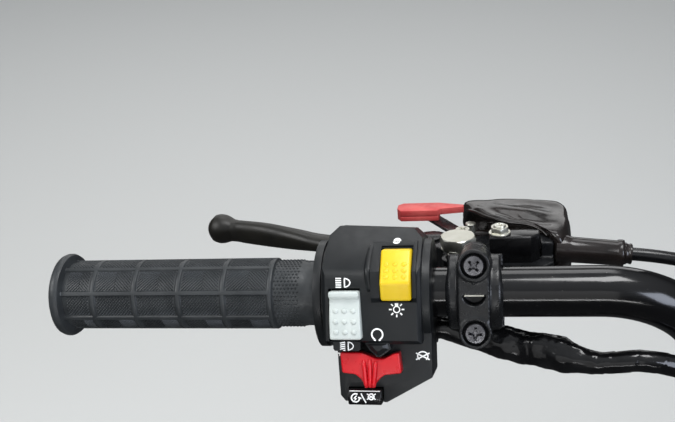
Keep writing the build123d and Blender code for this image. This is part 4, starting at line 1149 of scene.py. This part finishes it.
# Right end: master cylinder's lid and port, and the thumb throttle
lid_middle = (23.0, 39.5)
lid_half = (22.0, 18.5)
tank_high = 19.0
lid_levels = (
    # inset, height
    (0.0, 0.0), (0.0, 0.2), (0.0, 2.0), (0.5, 2.6), (1.6, 2.9), (3.6, 2.9), (4.4, 3.5), (5.2, 3.6),
)


def rounded_plate(middle, half_x, half_y, radius, steps=8):
    """The outline of a plate with round corners."""
    outline = []
    for corner, (sign_x, sign_y) in enumerate(((1, 1), (-1, 1), (-1, -1), (1, -1))):
        for share in shares(steps):
            turn = pi / 2 * (corner + share)
            outline.append((
                middle[0] + sign_x * (half_x - radius) + radius * cos(turn),
                middle[1] + sign_y * (half_y - radius) + radius * sin(turn),
            ))
    return outline


def reservoir_lid():
    """The lid: a stepped rim, a raised panel with ribs, and its screws."""
    rings = []
    for inset, height in lid_levels:
        outline = rounded_plate(
            lid_middle, lid_half[0] - inset, lid_half[1] - inset, max(3.6 - inset * 0.4, 1.2)
        )
        rings.append([Vector((x, y, tank_high + height)) for x, y in outline])
    bm = loft(rings)
    for rib in range(-3, 4):
        x = lid_middle[0] + rib * 3.4
        run = [(Vector((x, lid_middle[1] - 10 + 20 * share, tank_high + 3.4)), UP) for share in shares(8)]
        pillow(bm, run, 1.5, 0.9, 0.35)
    piece(bm, "ribbed_lid", "case_plastic", RIGHT_LEVER, "reservoir_lid")
    bm = bmesh.new()
    places = [standing((x, lid_middle[1], tank_high + 3.4), UP, (1, x / 30, 0)) for x in (8.0, 38.0)]
    add_copies(bm, cross_screw(3.9, 1.9), places)
    piece(bm, "lid_screws", "zinc_steel", RIGHT_LEVER, "reservoir_screws")


reservoir_lid()

# The level window in the tank's side that faces the rider, in its ring, and the machined rim of the port
window = Vector((23.0, 22.0, 8.0))
ring = [(0.0, 6.4), (0.5, 6.4), (0.9, 6.0), (0.9, 5.1), (0.3, 4.9), (0.3, 0.1)]
piece(lathe(ring, window, -FORWARD, 40), "sight_glass_ring", "cast_black", RIGHT_LEVER)
glass = [(0.2, 4.9), (0.55, 4.4), (0.75, 2.6), (0.8, 0.1)]
piece(lathe(glass, window, -FORWARD, 40), "sight_glass", "amber_plastic", RIGHT_LEVER, material=SIGHT_GLASS)
rim = [(0.0, 8.3), (0.5, 8.3), (0.9, 7.9), (0.9, 5.4), (0.4, 5.0), (-0.6, 4.7), (-0.6, 8.0)]
piece(lathe(rim, (52.0, 42.0, -2.0), ACROSS, 40, hollow=True), "port_rim", "zinc_steel", RIGHT_LEVER)

dress(ease_edges(copy_of("throttle_case"), 0.8), "case_plastic", "throttle_case")
dress(ease_edges(copy_of("throttle_cover"), 0.5), "cast_black", "throttle_cover")
bm = bmesh.new()
add_copies(bm, cross_screw(3.1, 1.8), [standing((x, 23.8, 5.0), UP, (1, x / 50, 0)) for x in (-60.0, -38.0)])
piece(bm, "cover_screws", "zinc_steel", RIGHT_RIDER, "throttle_screws")

# Rings round the throttle cable's inlet
inlet_turn = radians(7.0)
inlet_axis = Vector((cos(inlet_turn), sin(inlet_turn), 0))
bm = bmesh.new()
for along in (5.0, 8.0, 11.0):
    ring = [(along + a, radius) for a, radius in ((-0.8, 6.1), (-0.5, 6.8), (0.5, 6.8), (0.8, 6.1))]
    lathe(ring, (-32.0, 23.0, -12.0), inlet_axis, 36, bm, hollow=True)
piece(bm, "inlet_rings", "boot_rubber", RIGHT_RIDER, smooth=50)

# The screws in the back of the switch case
bm = bmesh.new()
places = []
for x, z in ((-27.0, 17.6), (-58.0, 17.6), (-27.0, -17.6), (-58.0, -17.6)):
    places.append(standing((x, 12.0, z), FORWARD, (1, 0, z / 30)))
    lathe([(0.5, 1.9), (12.0, 1.9)], (x, 0, z), FORWARD, 16, bm)
add_copies(bm, cross_screw(3.5, 2.3), places)
piece(bm, "case_screws", "dark_screw", RIDER, "switch_case_screws")


def thumb_lever():
    """The throttle's lever: a hub, an arm, and a curved pad with ridges for the thumb."""
    hub = Vector((-46.0, 22.0, 0))
    arm = Vector((-76.0, -25.0, 0)) - hub
    across = Vector((-arm.y, arm.x, 0)).normalized()
    pad_start = -71.0
    bm = lathe([(-29.6, 7.4), (-29.2, 8.0), (-24.8, 8.0), (-24.4, 7.4)], hub, sides=40)
    rings = []
    for share in shares(12):
        bow = sin(pi * share)
        middle = hub + arm * share + across * 2.6 * bow + Vector((0, 0, -27.0))
        rings.append(rounded_ring(middle, across, UP, 6.2 - 0.9 * bow, 2.2, 0.5))
    loft(rings, bm)
    # The pad, curved to the thumb, from the elbow outwards
    rings = []
    for share in shares(18):
        bow = 2.4 * (2 * share - 1) ** 2
        tall = 9.0 * (1 - 0.35 * ramp(share, 0.82, 1.0)) * (0.75 + 0.25 * ramp(share, 0, 0.2))
        middle = Vector((pad_start - 37.0 * share, -28.2 + bow, -31.0))
        rings.append(rounded_ring(middle, FORWARD, UP, 1.9, tall, 0.55))
    loft(rings, bm)
    for ridge in range(7):
        x = -80.0 - 3.6 * ridge
        bow = 2.4 * ((pad_start - x) / 18.5 - 1) ** 2
        run = [(Vector((x, -29.9 + bow, -37.0 + 12.0 * share)), -FORWARD) for share in shares(8)]
        pillow(bm, run, 1.6, 0.9, 0.3)
    piece(bm, "thumb_paddle", "case_plastic", RIGHT_RIDER, "thumb_lever", body="thumb_throttle", smooth=50)
    bm = bmesh.new()
    add_copies(bm, cross_screw(5.4, 2.4), [standing(hub - UP * 29.9, -UP, (1, 0.4, 0))])
    lathe([(-29.9, 3.0), (-16.0, 3.0)], hub, sides=24, bm=bm)
    piece(bm, "thumb_pivot_screw", "zinc_steel", RIGHT_RIDER, "thumb_lever_screw")


thumb_lever()


# Cords, on the routes that the source gives

def spline_object(name, points, radius):
    """A smooth cord through a route's control points."""
    curve = bpy.data.curves.new(name, "CURVE")
    curve.dimensions = "3D"
    curve.resolution_u = 6
    curve.bevel_depth = radius * MM
    curve.bevel_resolution = 5
    curve.use_fill_caps = radius > 0
    spline = curve.splines.new("NURBS")
    spline.points.add(len(points) - 1)
    for knot, point in zip(spline.points, points):
        knot.co = (*(Vector(point) * MM), 1)
    spline.order_u = 3
    spline.use_endpoint_u = True
    return add_object(name, curve)


def in_row(local, *point):
    """A local frame's point in the row frame, in millimetres."""
    return local @ Vector(point) / MM


cable_straight = 12.0
cable_radius = 3.0
coil_middle = Vector((0.0, 24.0, -36.0))
coil_radius = 38.5
strand_offset = 6.1
coil_turns = 5
points_per_turn = 16
coil_steps = points_per_turn * (coil_turns - 1) + 6
fitting_low = Vector((38.5, 39.6, -50.0))
cable_exit = in_row(LEVER, *nozzle_mouth)


def coil_point(step):
    """A point of the coil: strands lie round the ring's middle, a little further round each turn."""
    round_turn = radians(178) + 2 * pi * step / points_per_turn
    strand_turn = 2 * pi * step / (points_per_turn * coil_turns)
    reach = coil_radius + strand_offset * cos(strand_turn)
    return coil_middle + Vector((
        reach * cos(round_turn), strand_offset * sin(strand_turn), reach * sin(round_turn)
    ))


cable_points = [
    cable_exit,
    in_row(LEVER, *(nozzle_mouth + cable_axis * cable_straight)),
    (-100.0, 13.4, 79.5),
    (-84.6, 16.0, 69.4),
    (-72.8, 18.3, 55.6),
    (-63.8, 20.1, 40.2),
    (-56.6, 21.6, 25.2),
    (-51.6, 22.7, 6.2),
    (-47.5, 23.5, -13.0),
    *[coil_point(step) for step in range(coil_steps)],
    (27.5, 33.0, -67.5),
    (36.0, 38.6, -60.0),
    fitting_low,
]
brake_cable = spline_object("brake_cable_sheath", cable_points, cable_radius)
brake_cable.data.materials.append(SLOTS["cable_sheath"])
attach(brake_cable, "handlebar")
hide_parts("brake_cable", "brake_cable_coil")


# The loom, on the route that the source gives: a shrunk sleeve, then wires under wound tape
loom_radius = 5.2
loom_gap = 1.1
strap_down = 66.0
knee_down = (low_corner - high_corner).normalized()
loom_side = (knee_down * knee_down.y - FORWARD).normalized()
loom_off = bar_radius + loom_radius + loom_gap
loom_points = [
    in_row(RIDER, -17.8, 14.3, -17.8),
    in_row(RIDER, -1.0, 14.3, -17.8),
    in_row(RIDER, 16.0, 12.2, -20.6),
    in_row(RIDER, 34.0, 7.6, -26.6),
    in_row(RIDER, 54.0, 3.2, -31.0),
    Vector((-124.5, -40.8, 62.2)),
    Vector((-113.2, -38.5, 61.2)),
    Vector((-102.6, -34.8, 58.0)),
    Vector((-93.3, -30.8, 52.0)),
    high_corner + knee_down * 54.0 + loom_side * loom_off,
    high_corner + knee_down * 78.0 + loom_side * loom_off,
    Vector((-63.0, -19.4, -0.8)),
    Vector((-60.7, -19.5, -20.2)),
    Vector((-60.5, -20.0, -40.0)),
]
loom_step = 0.7


def even_run(points, gap):
    """Points at even gaps along close points."""
    run = [points[0]]
    for point in points[1:]:
        while (point - run[-1]).length > gap:
            run.append(run[-1] + (point - run[-1]).normalized() * gap)
    return run + [points[-1]]


def loom_sag(distance):
    """How far the loom hangs below the source's plain route: more beside the clamp, less after it."""
    slopes = ((4.2, 1, 18), (-2.6, 34, 54), (-3.6, 66, 96), (2.0, 124, 146))
    return sum(drop * ramp(distance, low, high) for drop, low, high in slopes)


def loom_route():
    """Close points along the loom, read from its smooth curve, in millimetres."""
    guide = spline_object("loom_guide", loom_points, 0)
    graph = bpy.context.evaluated_depsgraph_get()
    mesh = bpy.data.meshes.new_from_object(guide.evaluated_get(graph))
    route = even_run([vertex.co / MM for vertex in mesh.vertices], loom_step)
    bpy.data.objects.remove(guide)
    return [point - rider_up * loom_sag(loom_step * place) for place, point in enumerate(route)]


def loom_outline(distance, turn):
    """The loom's own section: fat and wrinkled in the sleeve, lean and ridged under the tape."""
    bulge = ramp(distance, 14, 34) * (1 - ramp(distance, 56, 74))
    wide = 4.6 + 0.3 * bulge
    tall = 4.7 + 2.3 * bulge
    sleeve = 1 - ramp(distance, 71, 73.5 + 1.5 * sin(3 * turn))
    place = Vector((distance / 7, 1.5 * cos(turn), 1.5 * sin(turn)))
    wrinkle = 0.7 * blotch.noise(place) + 0.45 * (0.5 - abs(blotch.noise(place * 1.9)))
    winding = (distance / 11 + turn / (2 * pi)) % 1
    tape = 0.30 * winding - 0.12 + 0.12 * blotch.noise(place * 2)
    lift = sleeve * (wrinkle * (0.6 + 0.7 * bulge) + 0.3) + (1 - sleeve) * tape
    return cos(turn) * (wide + lift) * 0.98, sin(turn) * (tall + lift)


loom_run = loom_route()
loom_shape = tube(loom_run, loom_radius, 40, loom_outline, side=Vector((0.17, -0.75, 0.6)))
wiring_loom = piece(loom_shape, "sleeved_loom", "loom_sleeve", ROW, "wiring_loom", smooth=60)

# The plug: a body with a latch, ribs and a seal where the wires enter
plug_levels = (
    # height, half width, half thickness
    (0, 8.4, 5.2), (0.6, 9.0, 5.8), (5.0, 9.0, 5.8), (6.0, 11.0, 7.0), (25.4, 11.0, 7.0), (26.0, 10.4, 6.4),
    (26.0, 9.4, 5.4), (19.0, 9.2, 5.2),
)
latch = [(-3.2, 7.5), (3.2, 7.5), (3.2, 20.0), (1.6, 22.5), (-1.6, 22.5), (-3.2, 20.0)]
plug_down = (loom_points[-1] - loom_points[-2]).normalized()
plug_across = -ACROSS.cross(plug_down).cross(plug_down)
plug_outlines = [
    (height, rounded_plate((0, 0), half_x, half_y, 1.8)) for height, half_x, half_y in plug_levels
]
bm = loft([[Vector((x, y, height)) for x, y in outline] for height, outline in plug_outlines])
for row in range(-2, 3):
    run = [(Vector((row * 3.6, -6.9, 8.0 + 14.0 * share)), -FORWARD) for share in shares(8)]
    pillow(bm, run, 1.4, 0.8, 0.35)
prism(latch, 6.8, 8.6, "XZ", bm)
piece(bm, "loom_plug", "case_plastic", frame_of(loom_points[-1], plug_across, plug_down), "loom_connector")


def strap(node, buckle_at, out):
    """A cable tie: the CAD band with eased edges, and its buckle."""
    dress(ease_edges(copy_of(node), 0.4, 2), "boot_rubber", node)
    out = out.normalized()
    side = out.orthogonal().normalized()
    over = out.cross(side) * 0.8
    rings = [
        [buckle_at + out * lift + side * a * half + over * b * half for a, b in oblong(-1, -1, 1, 1)]
        for lift, half in ((0.0, 3.4), (0.4, 3.8), (3.6, 3.8), (4.2, 3.2))
    ]
    piece(loft(rings), node + "_buckle", "boot_rubber", ROW)


strap("coil_tie", Vector((0, -11.6, 6.0)), Vector((0, -1, 0.5)))
strap("loom_strap", high_corner + knee_down * strap_down - loom_side * 12.6, -loom_side)

# The cable's threaded ferrule with its nuts, the bare inner wire and the eye
bm = lathe([(0, 3.6), (0.6, 4.2), (5.0, 4.2), (5.6, 3.6)], fitting_low, sides=32)
thread(fitting_low, 3.9, 5.6, 21.0, 1.25, bm)
for low in (7.0, 14.0):
    hex_head(fitting_low, 9.8, low, low + 4.0, low, bm)
lathe(
    [(21.0, 3.2), (22.0, 2.2), (22.0, 1.0), (31.5, 1.0), (31.6, 1.6), (34.5, 1.6)], fitting_low, sides=24,
    bm=bm
)
eye = [(-1.6, 5.6), (-1.9, 5.2), (-2.0, 3.2), (-1.7, 2.6), (1.7, 2.6), (2.0, 3.2), (1.9, 5.2), (1.6, 5.6)]
lathe(eye, fitting_low + UP * 36.0, FORWARD, 36, bm, hollow=True)
piece(bm, "cable_ferrule_and_eye", "zinc_steel", ROW, "cable_fitting")


# Floor, light and camera, in metres
floor_drop = 0.30
floor_size = 8.0
bm = bmesh.new()
under = Matrix.Translation((0, 0, -floor_drop))
bmesh.ops.create_grid(bm, x_segments=1, y_segments=1, size=floor_size / 2, matrix=under)
floor = mesh_object(bm, "studio_floor")
floor.data.materials.append(new_material("pale_floor", "#c2c3c1", 0.7)[0])
floor.visible_glossy = False

focus = RIDER @ Vector((-40, -20, 0))


def lamp(name, offset, size, size_y, power, colour="#ffffff"):
    """An oblong area light that faces the focus from an offset."""
    light = bpy.data.lights.new(name, "AREA")
    light.shape = "RECTANGLE"
    light.size = size
    light.size_y = size_y
    light.energy = power
    light.color = linear(colour)[:3]
    place = focus + Vector(offset)
    turn = (focus - place).normalized().to_track_quat("-Z", "Y").to_matrix().to_4x4()
    holder = add_object(name, light)
    holder.matrix_world = Matrix.Translation(place) @ turn
    return holder


lamp("softbox_over", (0.18, 0.2, 1.05), 0.36, 0.5, 4.8)
lamp("softbox_left", (-0.9, -0.5, 0.8), 0.7, 0.7, 7)
lamp("softbox_right", (0.9, -0.35, 0.5), 0.5, 0.5, 5, "#e6eeff")
lamp("strip_front", (0.35, -0.95, 0.05), 0.7, 0.03, 1.0)
lamp("softbox_front", (0.1, -0.9, 0.35), 0.8, 0.8, 1.0)
# Two cards behind the object show only in its gloss
for card in (
    lamp("card_low_behind", (-0.45, 1.2, 0.1), 1.6, 0.5, 3.2),
    lamp("card_high_behind", (-0.3, 0.9, 0.8), 0.9, 0.5, 3.0),
):
    card.visible_diffuse = False
    card.visible_camera = False
# Two lights that don't show in the gloss
for light in (
    lamp("fill_over", (-0.1, 0.3, 1.1), 0.8, 0.8, 9), lamp("fill_low", (0.1, -1.0, 0.1), 0.8, 0.8, 4)
):
    light.visible_glossy = False

# The sky of the studio is bright above and dark at the horizon, which gives the glossy tube its gradient
world = bpy.data.worlds.new("studio")
bpy.context.scene.world = world
world.use_nodes = True
sky = world.node_tree
place = add_node(sky, "ShaderNodeTexCoord")
parts = add_node(sky, "ShaderNodeSeparateXYZ", links=[("Vector", place.outputs["Generated"])])
strength = spread(sky, parts.outputs["Z"], 0.07, 0.75, 0.25, 1.0)
background = sky.nodes["Background"]
background.inputs["Color"].default_value = linear("#dfe3e8")
sky.links.new(strength, background.inputs["Strength"])
bpy.context.scene.view_settings.view_transform = "Standard"

# The camera, fitted to the photograph in the lever's frame
eye_place = Vector((17.1, -360.6, 178.2))
eye_right = Vector((0.981, 0.169, -0.091))
eye_ahead = Vector((-0.191, 0.916, -0.352))
camera_data = bpy.data.cameras.new("rider_eye")
camera_data.sensor_width = 36.0
camera_data.lens = 48.0
camera_data.clip_start = 0.01
lever_turn = LEVER.to_3x3() * (1 / MM)
right = (lever_turn @ eye_right).normalized()
ahead = (lever_turn @ eye_ahead).normalized()
ahead = (ahead - right * ahead.dot(right)).normalized()
camera_turn = Matrix((right, right.cross(ahead), -ahead)).transposed().to_4x4()
camera = add_object("rider_eye", camera_data)
camera.matrix_world = Matrix.Translation(LEVER @ eye_place) @ camera_turn
bpy.context.scene.camera = camera

bpy.context.view_layer.update()
